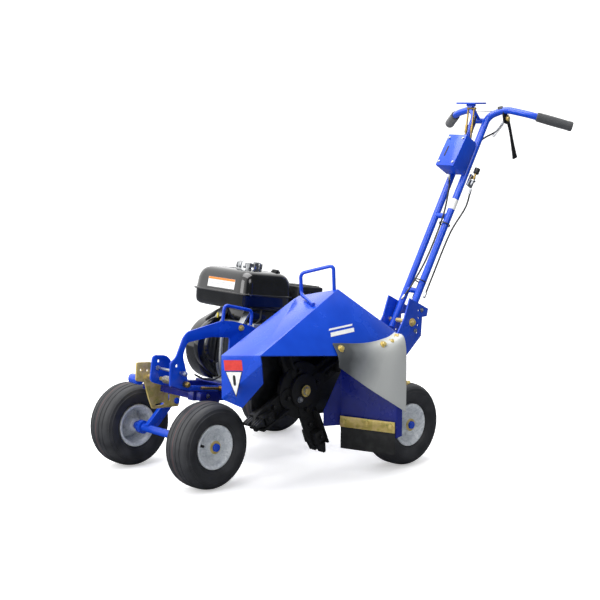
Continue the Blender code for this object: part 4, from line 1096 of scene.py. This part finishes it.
class EDGER_OT_tank(Maker, bpy.types.Operator):
    """Pressed fuel tank with a rolled seam, ribbed chrome cap and a plain label"""
    bl_idname = "edger.tank"
    bl_label = "Tank"

    def make(self):
        def layer(inset, height):
            x_low, x_high, y_low, y_high = *TANK_X, *TANK_Y
            corners = [(x_low + inset, y_low + inset), (x_high - inset, y_low + inset),
                       (x_high - inset, y_high - inset), (x_low + inset, y_high - inset)]
            return [(px, py, height) for px, py in rounded(corners, 0.046 - inset * 0.4, 9)]

        pan = [(0.034, TANK_LOW), (0.018, TANK_LOW + 0.003), (0.010, TANK_LOW + 0.010),
               (0.0075, TANK_LOW + 0.022),
               (0.0065, TANK_SEAM - 0.006), (0.0055, TANK_SEAM - 0.0035)]
        seam = [(0.0010, TANK_SEAM - 0.0030), (0.0000, TANK_SEAM - 0.0020), (0.0000, TANK_SEAM + 0.0015),
                (0.0012, TANK_SEAM + 0.0026)]
        lid = [(0.0065, TANK_SEAM + 0.0032), (0.0075, TANK_SEAM + 0.008), (0.0100, TANK_TOP - 0.042),
               (0.0135, TANK_TOP - 0.028), (0.0190, TANK_TOP - 0.0165), (0.0270, TANK_TOP - 0.0082),
               (0.0380, TANK_TOP - 0.0032), (0.0520, TANK_TOP - 0.0006), (0.0650, TANK_TOP)]
        bm = bmesh.new()
        add_faces(bm, [layer(*level) for level in (*pan, *seam, *lid)])
        piece("fuel_tank_pressed", bm, "enamel", "chassis", ("fuel_tank",), CHASSIS, smooth=42)

        place = (-0.338, 0.235, TANK_TOP)
        turn = CHASSIS @ Matrix.Translation(place)
        built("fuel_cap_body", [
            (add_lathe, [(0.0, 0.0285), (0.034, 0.0282), (0.0390, 0.0268), (0.0412, 0.0240), (0.0418, 0.0200),
                         (0.0418, 0.0050), (0.0430, 0.0030), (0.0430, 0.0004), (0.0, 0.0004)], turn, 64)],
            "chrome", "fuel_cap_turn", ("fuel_cap",), smooth=40)
        grown("fuel_cap_ribs", ring_tree, "chrome", "fuel_cap_turn",
              {"Count": sizes().cap_ribs, "Radius": 0.0412, "Block": (0.0070, 0.0100, 0.0190)},
              turn @ Matrix.Translation((0, 0, 0.0140)), bevel=0.0014)
        built("filler_neck", [
            (add_lathe, [(0.036, 0.0003), (0.036, -0.002), (0.049, -0.002), (0.0475, 0.0003)], turn, 48)],
            "enamel", "chassis", smooth=40)
        clips = bmesh.new()
        for x, y in ((-0.262, 0.185), (-0.246, 0.300)):
            add_box(clips, (x - 0.010, y - 0.012, TANK_TOP - 0.004), (x + 0.012, y + 0.012, TANK_TOP + 0.004))
            add_rod(clips, (x, y - 0.014, TANK_TOP + 0.005), (x, y + 0.014, TANK_TOP + 0.005), 0.0045, 16)
        piece("tank_clips", clips, "plastic", "chassis", turn=CHASSIS, bevel=0.0012)
        self.label()

    def label(self):
        """A blank label on the lid's front slope."""
        def at(y, share, lift):
            low, high = Vector((TANK_X[0] + 0.0078, y, TANK_SEAM + 0.010)), Vector((TANK_X[0] + 0.0106, y,
                                                                                    TANK_TOP - 0.038))
            run = high - low
            out = Vector((-run.z, 0, run.x)).normalized()
            return low + run * share + out * lift

        for name, material, (y_low, y_high), (low, high), lift in (
                ("tank_label", "white_vinyl", (0.190, 0.325), (0.02, 1.08), 0.0003),
                ("tank_label_header", "orange_vinyl", (0.191, 0.324), (0.84, 1.07), 0.0007),
                ("tank_label_rule", "grey_vinyl", (0.200, 0.314), (0.60, 0.64), 0.0007),
                ("tank_label_rule_low", "grey_vinyl", (0.200, 0.314), (0.38, 0.42), 0.0007)):
            bm = bmesh.new()
            ring = [at(y_low, low, lift), at(y_high, low, lift), at(y_high, high, lift),
                    at(y_low, high, lift)]
            out = (ring[1] - ring[0]).cross(ring[3] - ring[0]).normalized() * 0.0003
            add_faces(bm, [ring, [p + (out if out.x < 0 else -out) for p in ring]])
            piece(name, bm, material, "chassis", turn=CHASSIS, smooth=20)


class EDGER_OT_engine(Maker, bpy.types.Operator):
    """Single-cylinder engine: crankcase, blower housing, recoil starter, silencer guard and air cleaner"""
    bl_idname = "edger.engine"
    bl_label = "Engine"

    def make(self):
        x, z = CRANK_X, CRANK_Z
        softened("engine_crankcase", "alloy", 0.004)
        softened("engine_cylinder", "alloy", 0.0012)
        softened("tank_stay", "enamel", 0.002)
        softened("muffler", "satin_black", 0.006)
        softened("air_cleaner", "plastic", 0.008)
        self.blower(x, z)
        self.case_details(x, z)
        self.silencer_and_cleaner()
        self.recoil(x, z)

    def blower(self, x, z):
        def scroll(inset, y):
            """One ring of the housing: the fan's circle drawn out forwards to a second, lower one."""
            circles = ((x, z, 0.124), (x - 0.066, z - 0.016, 0.109))
            ring = []
            for k in range(96):
                across, up = math.cos(2 * math.pi * k / 96), math.sin(2 * math.pi * k / 96)
                px, pz, radius = max(circles, key=lambda c: c[0] * across + c[1] * up + c[2])
                ring.append(Vector((px + (radius - inset) * across, y, pz + (radius - inset) * up)))
            return ring

        bm = bmesh.new()
        add_faces(bm, [scroll(inset, y) for inset, y in ((0.034, 0.3630), (0.018, 0.3618), (0.008, 0.3580),
                                                        (0.002, 0.3500), (0.0, 0.3400), (0.0, 0.2900),
                                                        (0.003, 0.2872))])
        piece("blower_housing", bm, "enamel", "chassis", ("fan_housing",), CHASSIS, bevel=0.0012)
        marks = bmesh.new()
        rim_turn = outward((x, 0.3230, z), 1, CHASSIS)
        rings = []
        for k in range(9):
            angle = math.radians(128 + 13 * k / 8)
            rings.append([rim_turn @ Vector((r * math.cos(angle), -r * math.sin(angle), h))
                          for r, h in ((0.1242, -0.032), (0.1242, -0.004), (0.1246, -0.004),
                                       (0.1246, -0.032))])
        add_faces(marks, rings)
        piece("blower_mark", marks, "red_vinyl", "chassis", smooth=30)

    def case_details(self, x, z):
        face = 0.1195
        spots = [((x + 0.066 * math.cos(a), face + 0.0004, z - 0.010 + 0.066 * math.sin(a)), (0, -1, 0))
                 for a in [math.radians(30 + 60 * k) for k in range(6)]]
        built("side_cover", [
            (add_lathe, [(0.052, 0.0005), (0.052, 0.0070), (0.058, 0.0052), (0.074, 0.0040), (0.0765, 0.0020),
                         (0.0765, 0.0002), (0.070, 0.0001)], outward((x, 0.1195, z - 0.010), -1, CHASSIS),
            64)], "alloy", "chassis", smooth=38)
        bolts("side_cover_bolts", spots, "steel", "chassis", 0.0062, 0.0050, 0.0085, 6,
              CHASSIS @ Matrix.Translation((0, -0.0042, 0)))
        ribs = bmesh.new()
        for k, (y, swell) in enumerate(((0.140, 0.016), (0.163, 0.024), (0.186, 0.014), (0.236, 0.020),
                                        (0.262, 0.012))):
            path = eased([(x - 0.084, y, 0.083), (x - 0.088 - swell, y, 0.120),
                          (x - 0.092 - swell, y + 0.004, 0.185),
                          (x - 0.088 - swell, y + 0.006, 0.235), (x - 0.084, y + 0.004, z + 0.082)], 8)
            add_tube(ribs, path,
                     [0.0052 + 0.0018 * math.sin(math.pi * i / (len(path) - 1)) for i in range(len(path))],
                     12)
        piece("case_ribs", ribs, "alloy", "chassis", turn=CHASSIS, smooth=60)
        shroud = bmesh.new()
        outer = eased([(x - 0.060, 0, 0.070), (x - 0.128, 0, 0.096), (x - 0.178, 0, 0.140),
                       (x - 0.193, 0, 0.190),
                       (x - 0.176, 0, 0.240), (x - 0.128, 0, 0.276), (x - 0.060, 0, 0.292)], 8)
        add_slab(shroud, [(p.x, p.z) for p in outer], 0.2660, 0.2866)
        add_rod(shroud, (x - 0.100, 0.2560, 0.188), (x - 0.100, 0.2670, 0.188), 0.058, 48, 0.066)
        piece("cooling_shroud", shroud, "enamel", "chassis", turn=CHASSIS, bevel=0.0015)
        built("oil_filler", [
            (add_rod, (x - 0.084, 0.150, 0.098), (x - 0.112, 0.150, 0.106), 0.0105, 20),
            (add_rod, (x - 0.110, 0.150, 0.1055), (x - 0.126, 0.150, 0.110), 0.0135, 12)],
            "plastic", "chassis", turn=CHASSIS, bevel=0.0012)
        straps = bmesh.new()
        for y_low, y_high, top in ((0.262, 0.300, TANK_LOW + 0.002), (0.150, 0.176, TANK_LOW + 0.002)):
            add_slab(straps, [(x - 0.112, z + 0.070), (x - 0.104, z + 0.070), (x - 0.070, top),
                              (x - 0.080, top)],
                     y_low, y_high)
        piece("tank_straps", straps, "steel", "chassis", turn=CHASSIS, bevel=0.0008)
        built("switch_tag", [
            (add_box, (x - 0.118, 0.266, z + 0.078), (x - 0.112, 0.284, z + 0.088)),
            (add_box, (x - 0.112, 0.272, z + 0.088), (x - 0.106, 0.279, z + 0.104))],
            "yellow_vinyl", "chassis", turn=CHASSIS, bevel=0.0006)
        built("spark_lead_moulded", [
            (add_tube, eased([(-0.134, 0.206, 0.205), (-0.100, 0.206, 0.208), (-0.085, 0.230, 0.225),
                              (-0.090, 0.285, 0.240), (-0.130, 0.300, 0.236), (-0.165, 0.302, 0.225)], 10),
            0.0040, 14), (add_rod, (-0.136, 0.206, 0.205), (-0.108, 0.206, 0.2075), 0.0085, 18, 0.0062)],
            "plastic", "chassis", ("spark_lead",), CHASSIS, smooth=50)
        built("fuel_hose", [
            (add_tube, eased([(x - 0.040, 0.140, TANK_LOW + 0.004), (x - 0.052, 0.130, 0.290),
                              (x - 0.088, 0.128, 0.262), (x - 0.104, 0.130, 0.215),
                              (x - 0.100, 0.136, 0.160)], 10), 0.0036, 12)],
            "plastic", "chassis", turn=CHASSIS, smooth=60)

    def silencer_and_cleaner(self):
        for name, count, step, block, place in (
                ("silencer_louvres", 9, (0.0115, 0.0, 0.0), (0.0060, 0.0880, 0.0036),
                 (-0.185, 0.183, 0.4130)),
                ("silencer_side_louvres", 8, (0.0, 0.0, 0.0115), (0.0880, 0.0034, 0.0060),
                 (-0.139, 0.1275, 0.316)),
                ("silencer_end_louvres", 8, (0.0, 0.0, 0.0115), (0.0034, 0.0880, 0.0060),
                 (-0.0795, 0.183, 0.316))):
            grown(name, row_tree, "satin_black", "chassis", {"Count": count, "Step": step, "Block": block},
                  CHASSIS @ Matrix.Translation(place), bevel=0.0009)
        built("exhaust_outlet", [
            (add_lathe, [(0.0075, 0.0), (0.0075, 0.016), (0.0105, 0.016), (0.0105, 0.0)],
             CHASSIS @ Matrix.Translation((-0.0795, 0.212, 0.392)) @ Matrix.Rotation(math.radians(90), 4,
                                                                                     "Y"), 28)],
            "steel", "chassis", smooth=40)
        built("air_cleaner_trim", [
            (add_box, (-0.202, 0.2380, 0.330), (-0.0812, 0.3755, 0.337)),
            (add_rod, (-0.1415, 0.307, 0.394), (-0.1415, 0.307, 0.404), 0.0160, 24, 0.0130)],
            "plastic", "chassis", turn=CHASSIS, bevel=0.0018)
        bolts("air_cleaner_nut", [((-0.1415, 0.307, 0.4040), (0, 0, 1))], "steel", "chassis", 0.0070, 0.0060,
              0.0090, 6, CHASSIS)
        built("carburettor", [
            (add_box, (-0.165, 0.268, 0.262), (-0.112, 0.318, 0.3285)),
            (add_rod, (-0.138, 0.293, 0.236), (-0.138, 0.293, 0.262), 0.0185, 24)],
            "alloy", "chassis", turn=CHASSIS, bevel=0.0020)

    def recoil(self, x, z):
        turn = outward((x, 0.3633, z), 1, CHASSIS)
        built("recoil_cover_pressed", [
            (add_lathe, [(0.0, 0.0215), (0.026, 0.0215), (0.030, 0.0200), (0.032, 0.0165), (0.056, 0.0160),
                         (0.074, 0.0125), (0.083, 0.0065), (0.0858, 0.0002), (0.0, 0.0002)], turn, 72)],
            "enamel", "chassis", ("recoil_cover",), smooth=38)
        grown("recoil_louvres", ring_tree, "satin_black", "chassis",
              {"Count": sizes().louvres, "Radius": 0.0560, "Block": (0.0280, 0.0052, 0.0034)},
              turn @ Matrix.Translation((0, 0, 0.0158)), bevel=0.0010)
        spots = [((0.079 * math.cos(a), 0.079 * math.sin(a), 0.0085), (0, 0, 1)) for a in
                 [math.radians(k) for k in (30, 150, 270)]]
        bolts("recoil_screws", spots, "steel", "chassis", 0.0055, 0.0045, 0.0075, 6, turn)
        grip = bmesh.new()
        a, b = Vector((x + 0.020, 0.376, z + 0.114)), Vector((x + 0.075, 0.376, z + 0.114))
        steps = 14
        path = [a.lerp(b, k / steps) for k in range(steps + 1)]
        add_tube(grip, path,
                 [0.0068 + 0.0026 * math.sin(math.pi * (k + 1.5) / (steps + 3)) for k in range(steps + 1)],
                 20)
        piece("recoil_grip_moulded", grip, "plastic", "recoil_slide", ("recoil_grip",), CHASSIS, smooth=60)


# Front locking gear

class EDGER_OT_lock(Maker, bpy.types.Operator):
    """Depth-lock pins, spring, collars and the release cable at the nose"""
    bl_idname = "edger.lock"
    bl_label = "Depth lock"

    def make(self):
        x, z = LOCK_PIN
        built("lock_guide", [
            (add_rod, (x, 0.0600, z), (x, 0.0770, z), 0.0095, 24),
            (add_rod, (x, 0.0560, z), (x, 0.0600, z), 0.0070, 20, 0.0082)],
            "brass", "lock_pin_slide", turn=CHASSIS, bevel=0.0006)
        grown("lock_spring", coil_tree, "steel", "lock_pin_slide",
              {"Turns": 9.0, "Radius": 0.0118, "Length": 0.060, "Wire": 0.0013},
              outward((x, 0.118, z), 1, CHASSIS),
              smooth=60)
        built("adjuster_rod", [
            (add_rod, (-0.720, 0.0500, 0.118), (-0.720, 0.2100, 0.118), 0.0048, 20),
            (add_rod, (-0.720, 0.0520, 0.118), (-0.720, 0.0700, 0.118), 0.0080, 6),
            (add_rod, (-0.720, 0.1900, 0.118), (-0.720, 0.1965, 0.118), 0.0080, 6)],
            "steel", "chassis", turn=CHASSIS, bevel=0.0005)
        built("rod_end", [
            (add_box, (-0.560, 0.060, 0.063), (-0.548, 0.078, 0.078)),
            (add_rod, (-0.640, 0.066, 0.072), (-0.560, 0.068, 0.071), 0.0046, 16)],
            "brass", "chassis", turn=CHASSIS, bevel=0.0006)
        built("nose_cable", [
            (add_tube, eased([(-0.690, 0.046, 0.118), (-0.650, 0.040, 0.104), (-0.610, 0.038, 0.106),
                              (-0.560, 0.044, 0.132), (-0.520, 0.058, 0.150), (-0.470, 0.066, 0.150)], 10),
            0.0030, 12)], "plastic", "chassis", turn=CHASSIS, smooth=60)
        bolts("arch_bolt", [((-0.4872, 0.0783, 0.2664), (0, -1, 0))], "zinc", "chassis", 0.0080, 0.0060,
              0.0105, 6, CHASSIS)
        bolts("rail_bolts", [((-0.600, 0.0778, 0.045), (0, -1, 0)), ((-0.470, 0.0778, 0.045), (0, -1, 0)),
                             ((-0.150, 0.0778, 0.045), (0, -1, 0))], "steel", "chassis", 0.0055, 0.0045,
              0.0075, 6, CHASSIS)
        pads = bmesh.new()
        for px, pz in ((-0.392, 0.0790), (-0.222, 0.0790)):
            for py in (0.140, 0.262):
                add_rod(pads, (px, py, pz), (px, py, pz + 0.006), 0.0070, 6)
        piece("engine_mount_bolts", pads, "zinc", "chassis", turn=CHASSIS, bevel=0.0005)
        spots = [(Vector((0.450, -0.1465, 0.166)).lerp(Vector((0.5095, -0.3325, 0.166)), s)
                  + Vector((-0.0092, -0.0030, 0)) * 0.98, (-0.952, -0.305, 0)) for s in (0.08, 0.5, 0.93)]
        bolts("strip_screws", spots, "zinc", "chassis", 0.0060, 0.0035, 0.0092, 20, MACHINE)


# Handle

HANDLE_LOW = Vector((0.930, 0, 0.420))
HANDLE_HIGH = Vector((1.362, 0, 1.135))
COLUMN_Y = (0.0, 0.060)
TUBE_RADIUS = 0.0127
ALONG = (HANDLE_HIGH - HANDLE_LOW).normalized()
BAIL_PIVOT = Vector((1.300, 0.030, 1.176))


class EDGER_OT_handle(Maker, bpy.types.Operator):
    """Bent tube handle with foam grips and its foot bolts"""
    bl_idname = "edger.handle"
    bl_label = "Handle"

    def make(self):
        bm = bmesh.new()
        foot = HANDLE_LOW - ALONG * 0.030
        for y, side in zip(COLUMN_Y, (-1, 1)):
            path = bent([foot + Vector((0, y, 0)), HANDLE_HIGH + Vector((0, y, 0)),
                         (1.400, y + side * 0.050, 1.160), (1.425, y + side * 0.140, 1.142),
                         (1.520, 0.030 + side * 0.286, 1.100)], 0.028, 10)
            add_tube(bm, path, TUBE_RADIUS, 28)
        for distance in (0.120, 0.420, 0.815):
            place = HANDLE_LOW + ALONG * distance
            add_rod(bm, place, place + Vector((0, COLUMN_Y[1], 0)), 0.010, 24)
        top = HANDLE_LOW + ALONG * 0.815 + Vector((0, 0.030, 0))
        add_rod(bm, top, BAIL_PIVOT + Vector((0.0085, 0, -0.0085)), 0.006, 20)
        piece("handle_tubes", bm, "blue", "handle", ("handle_frame",), MACHINE, smooth=50)
        built("pivot_bolt", [
            (add_rod, (0.930, -0.0335, 0.420), (0.930, 0.0935, 0.420), 0.0078, 24)],
            "zinc", "handle", turn=MACHINE, bevel=0.0005)
        bolts("pivot_nuts", [((0.930, -0.0232, 0.420), (0, -1, 0)), ((0.930, 0.0832, 0.420), (0, 1, 0))],
              "zinc",
              "handle", 0.0110, 0.0080, 0.0150, 6, MACHINE)
        bolts("bracket_screws", [((0.250, -0.0232, 0.290), (0, -1, 0)),
                                 ((0.272, -0.0232, 0.365), (0, -1, 0))],
              "steel", "chassis", 0.0055, 0.0040, 0.0080, 6, CHASSIS)
        for name, side in (("grip_near", -1), ("grip_far", 1)):
            outer = Vector((1.520, 0.030 + side * 0.286, 1.100))
            y = COLUMN_Y[0] if side < 0 else COLUMN_Y[1]
            inner = Vector((1.425, y + side * 0.140, 1.142))
            run = (inner - outer).normalized()
            reach = [(-0.0060, 0.0140), (-0.0048, 0.0168), (0.000, 0.0180), (0.010, 0.0176)]
            for k in range(1, 25):
                reach.append((0.010 + 0.108 * k / 24, 0.0172 + 0.0006 * math.sin(k * math.pi / 24)))
            reach += [(0.122, 0.0172), (0.126, 0.0166), (0.1280, 0.0150)]
            built(f"{name}_sleeve", [
                (add_tube, [outer + run * d for d, _ in reach], [r for _, r in reach], 32)],
                "foam", "handle", (name,), MACHINE, smooth=50)
        built("top_plate", [
            (add_box, (1.362, -0.004, 1.1520), (1.414, 0.064, 1.1545))],
            "steel", "handle", turn=MACHINE, bevel=0.0006)
        card = bmesh.new()
        place = HANDLE_LOW + ALONG * 0.468
        add_tube(card, [place - ALONG * 0.020, place + ALONG * 0.020], TUBE_RADIUS + 0.0004, 28)
        piece("tube_label", card, "white_vinyl", "handle", turn=MACHINE, smooth=60)


class EDGER_OT_controls(Maker, bpy.types.Operator):
    """Control box, throttle, release lever, engage link and the cables on the column"""
    bl_idname = "edger.controls"
    bl_label = "Controls"

    def make(self):
        softened("control_box", "blue", 0.0018)
        self.box_front()
        self.lever()
        self.link()
        self.throttle()
        self.cables()

    def box_front(self):
        low, high = Vector((1.229, 0, 0.918)), Vector((1.296, 0, 1.032))
        up = (high - low).normalized()
        ahead = Vector((-up.z, 0, up.x))
        a, b = low + ahead * 0.0884, high + ahead * 0.0784
        run = b - a
        out = Vector((-run.z, 0, run.x)).normalized()
        # Painted shade: a thin black strip laid on the box front stands for its slit, dark where the opening
        # would lie in shade.
        slit_shade = bmesh.new()
        corners = ((0.30, 0.046), (0.30, 0.052), (0.62, 0.052), (0.62, 0.046))
        ring = [a + run * share + Vector((0, y, 0)) for share, y in corners]
        add_faces(slit_shade, [ring, [p + out * 0.0005 for p in ring]])
        piece("box_slit", slit_shade, "plastic", "handle", turn=MACHINE, smooth=20)
        spots = [(a + run * share + Vector((0, y, 0)), out)
                 for share in (0.12, 0.88) for y in (-0.002, 0.062)]
        bolts("box_screws", spots, "steel", "handle", 0.0036, 0.0020, 0.0050, 16, MACHINE)

    def lever(self):
        band = bmesh.new()
        centre = Vector((1.3935, -0.034, 1.1570))
        run = Vector((0.45, -0.75, 0.18)).normalized()
        add_rod(band, centre - run * 0.009, centre + run * 0.009, TUBE_RADIUS + 0.0022, 32)
        add_slab(band, [(1.384, 1.152), (1.404, 1.152), (1.420, 1.124), (1.410, 1.106), (1.392, 1.112)],
                 -0.0530, -0.0465)
        piece("lever_clamp", band, "satin_black", "handle", turn=MACHINE, bevel=0.0008)
        blade = bmesh.new()
        spine = eased([(1.3985, -0.057, 1.137), (1.4080, -0.057, 1.118), (1.4190, -0.057, 1.092),
                       (1.4300, -0.057, 1.058),
                       (1.4410, -0.057, 1.022), (1.4510, -0.057, 0.990), (1.4540, -0.057, 0.981)], 6)
        count = len(spine)
        widths = []
        for k in range(count):
            t = k / (count - 1)
            waist = 0.0040 * math.sin(math.pi * min(1.0, t * 1.25))
            tip = 0.0012 if t > 0.85 else 0
            widths.append(0.0118 - waist + tip)
        add_tube(blade, spine, widths, 20)
        bmesh.ops.scale(blade, vec=(1, 0.42, 1), verts=blade.verts,
                        space=Matrix.Translation((0, 0.057, 0)))
        piece("lever_blade", blade, "satin_black", "release_lever_pivot", ("release_lever",), MACHINE,
              smooth=60)
        bolts("lever_bolt", [((1.402, -0.0600, 1.128), (0, -1, 0))], "zinc", "release_lever_pivot", 0.0080,
              0.0050, 0.0105, 6, MACHINE)
        start, end = Vector((1.384, -0.0500, 1.106)), Vector((1.340, -0.0420, 1.062))
        grown("lever_spring", coil_tree, "steel", "handle",
              {"Turns": 10.0, "Radius": 0.0048, "Length": (end - start).length, "Wire": 0.0009},
              MACHINE @ aimed(start, end - start), smooth=60)

    def link(self):
        rods = bmesh.new()
        for y in (0.018, 0.044):
            add_rod(rods, (1.284, y, 1.0400), (1.3030, y, 1.1640), 0.0034, 16)
            add_rod(rods, (1.2895, y, 1.0760), (1.2940, y, 1.1050), 0.0056, 6)
        add_rod(rods, (1.3030, 0.010, 1.1640), (1.3030, 0.050, 1.1640), 0.0042, 16)
        piece("engage_link", rods, "brass", "handle", turn=MACHINE, bevel=0.0004)
        built("engage_hook", [
            (add_tube, eased([(1.3180, 0.031, 1.160), (1.3300, 0.031, 1.140), (1.3200, 0.031, 1.112),
                              (1.3060, 0.031, 1.092)], 8), 0.0040, 12)],
            "satin_black", "handle", turn=MACHINE, smooth=60)

    def throttle(self):
        base = Vector((1.242, 0, 0.905))
        collar = bmesh.new()
        start = base + Vector((0, -0.0325, 0))
        add_rod(collar, start - ALONG * 0.018, start + ALONG * 0.004, 0.0062, 20)
        add_rod(collar, start - ALONG * 0.003, start + ALONG * 0.002, 0.0100, 6)
        piece("throttle_nut", collar, "steel", "handle", turn=MACHINE, bevel=0.0004)
        built("throttle_stem", [
            (add_rod, start, start + ALONG * 0.034, 0.0039, 18)],
            "brass", "throttle_slide", turn=MACHINE, bevel=0.0003)

    def cables(self):
        runs = {
            "cable_engage": [(1.172, 0.020, 0.925), (1.168, 0.018, 0.880), (1.130, 0.012, 0.780),
                             (1.050, 0.014, 0.640), (0.975, 0.020, 0.545), (0.930, 0.024, 0.500)],
            "cable_throttle": [(1.230, -0.032, 0.872), (1.205, -0.030, 0.810), (1.130, -0.022, 0.720),
                               (1.040, -0.0185, 0.570), (0.990, -0.0270, 0.505)],
            "cable_release": [(1.396, -0.047, 1.116), (1.375, -0.028, 1.080), (1.345, 0.024, 1.040),
                              (1.282, 0.030, 0.950), (1.165, 0.030, 0.770), (1.060, 0.030, 0.600),
                              (0.985, 0.032, 0.480)],
        }
        for node, places in runs.items():
            bm = bmesh.new()
            path = eased(places, 14)
            add_tube(bm, path, 0.0031, 14)
            piece(f"{node}_sheath", bm, "plastic", "handle", (node,), MACHINE, smooth=60)
            ends = bmesh.new()
            for first, second in ((path[0], path[2]), (path[-1], path[-3])):
                way = (second - first).normalized()
                add_rod(ends, first - way * 0.004, first + way * 0.016, 0.0044, 18)
            piece(f"{node}_ferrules", ends, "steel", "handle", turn=MACHINE, bevel=0.0004)
        ties = bmesh.new()
        way = (0.52, 0, 0.86)
        for place in ((1.130, 0.004, 0.752), (1.005, 0.006, 0.556)):
            add_lathe(ties, [(0.0195, -0.0022), (0.0195, 0.0022), (0.0208, 0.0022), (0.0208, -0.0022)],
                      aimed(place, way), 40)
        piece("cable_ties", ties, "plastic", "handle", turn=MACHINE, smooth=40)


# Stage

CAMERA_AZIMUTH = -43.77
CAMERA_ELEVATION = 8.76
CAMERA_DISTANCE = 4.603
CAMERA_LENS = 84.28
CAMERA_AIM = (0.4038, 0.0, 0.5531)
SKY_STRENGTH = 1.35
SHADED_SIDE = (0.42, -0.90, 0.05)


class EDGER_OT_stage(Maker, bpy.types.Operator):
    """White paper sweep, soft studio light and the camera"""
    bl_idname = "edger.stage"
    bl_label = "Stage"

    def make(self):
        bm = bmesh.new()
        bmesh.ops.create_grid(bm, x_segments=2, y_segments=2, size=30)
        data = bpy.data.meshes.new("floor")
        bm.to_mesh(data)
        bm.free()
        floor = placed("floor", data)
        floor.location.z = -0.0008
        data.materials.append(studio_floor())

        world = bpy.data.worlds.new("soft_white")
        bpy.context.scene.world = world
        world.use_nodes = True
        tree = world.node_tree
        sky = add(tree, "ShaderNodeTexCoord").outputs["Generated"]
        toward = add(tree, "ShaderNodeVectorMath", {0: sky, 1: SHADED_SIDE}, operation="DOT_PRODUCT")
        fall = add(tree, "ShaderNodeValToRGB", {"Fac": toward.outputs["Value"]})
        fall.color_ramp.elements[0].position = 0.02
        fall.color_ramp.elements[0].color = (*bpy.context.scene.edger_colours.backdrop, 1)
        fall.color_ramp.elements[1].position = 0.45
        fall.color_ramp.elements[1].color = (0.075, 0.08, 0.09, 1)
        back = tree.nodes["Background"]
        tree.links.new(fall.outputs["Color"], back.inputs["Color"])
        back.inputs["Strength"].default_value = SKY_STRENGTH
        bpy.context.scene.view_settings.view_transform = "Standard"

        aim = MACHINE @ Vector((0.42, 0.05, 0.40))
        for name, place, width, power in (("overhead", (-0.3, 0.2, 3.2), 2.6, 1.0),
                                          ("front_left", (-3.4, 0.4, 2.0), 1.8, 0.45),
                                          ("near_side", (-0.6, -4.2, 3.6), 1.8, 0.45)):
            light = bpy.data.lights.new(name, "AREA")
            light.shape = "RECTANGLE"
            light.size = light.size_y = width
            light.energy = sizes().key_light * power
            lamp = placed(name, light)
            lamp.location = place
            lamp.rotation_euler = (Vector(place) - aim).to_track_quat("Z", "Y").to_euler()

        azimuth, elevation = math.radians(CAMERA_AZIMUTH), math.radians(CAMERA_ELEVATION)
        back_way = Vector((math.sin(azimuth) * math.cos(elevation), -math.cos(azimuth) * math.cos(elevation),
                           math.sin(elevation)))
        lens = bpy.data.cameras.new("camera")
        lens.sensor_width = 36
        lens.lens = CAMERA_LENS
        lens.clip_end = 200
        camera = placed("camera", lens)
        camera.location = MACHINE @ Vector(CAMERA_AIM) + back_way * CAMERA_DISTANCE
        camera.rotation_euler = back_way.to_track_quat("Z", "Y").to_euler()
        bpy.context.scene.camera = camera


OPERATORS = (EDGER_OT_stage, EDGER_OT_tyres, EDGER_OT_rims, EDGER_OT_steelwork, EDGER_OT_hood, EDGER_OT_flap,
             EDGER_OT_rotor, EDGER_OT_tank, EDGER_OT_engine, EDGER_OT_lock, EDGER_OT_handle,
             EDGER_OT_controls)


class EDGER_PT_panel(bpy.types.Panel):
    """Lists the edger's pieces in the sidebar"""
    bl_idname = "EDGER_PT_panel"
    bl_label = "Bed Edger"
    bl_space_type = "VIEW_3D"
    bl_region_type = "UI"
    bl_category = "Bed Edger"

    def draw(self, context):
        layout = self.layout
        for group in (context.scene.edger_sizes, context.scene.edger_colours):
            for name in group.__annotations__:
                layout.prop(group, name)
        for operator in OPERATORS:
            layout.operator(operator.bl_idname)


CLASSES = (EdgerSizes, EdgerColours, *OPERATORS, EDGER_PT_panel)


def register():
    for item in CLASSES:
        bpy.utils.register_class(item)
    bpy.types.Scene.edger_sizes = PointerProperty(type=EdgerSizes)
    bpy.types.Scene.edger_colours = PointerProperty(type=EdgerColours)


def unregister():
    del bpy.types.Scene.edger_sizes
    del bpy.types.Scene.edger_colours
    for item in reversed(CLASSES):
        bpy.utils.unregister_class(item)


def main():
    register()
    for operator in OPERATORS:
        group, name = operator.bl_idname.split(".")
        getattr(getattr(bpy.ops, group), name)()


if __name__ == "__main__":
    main()
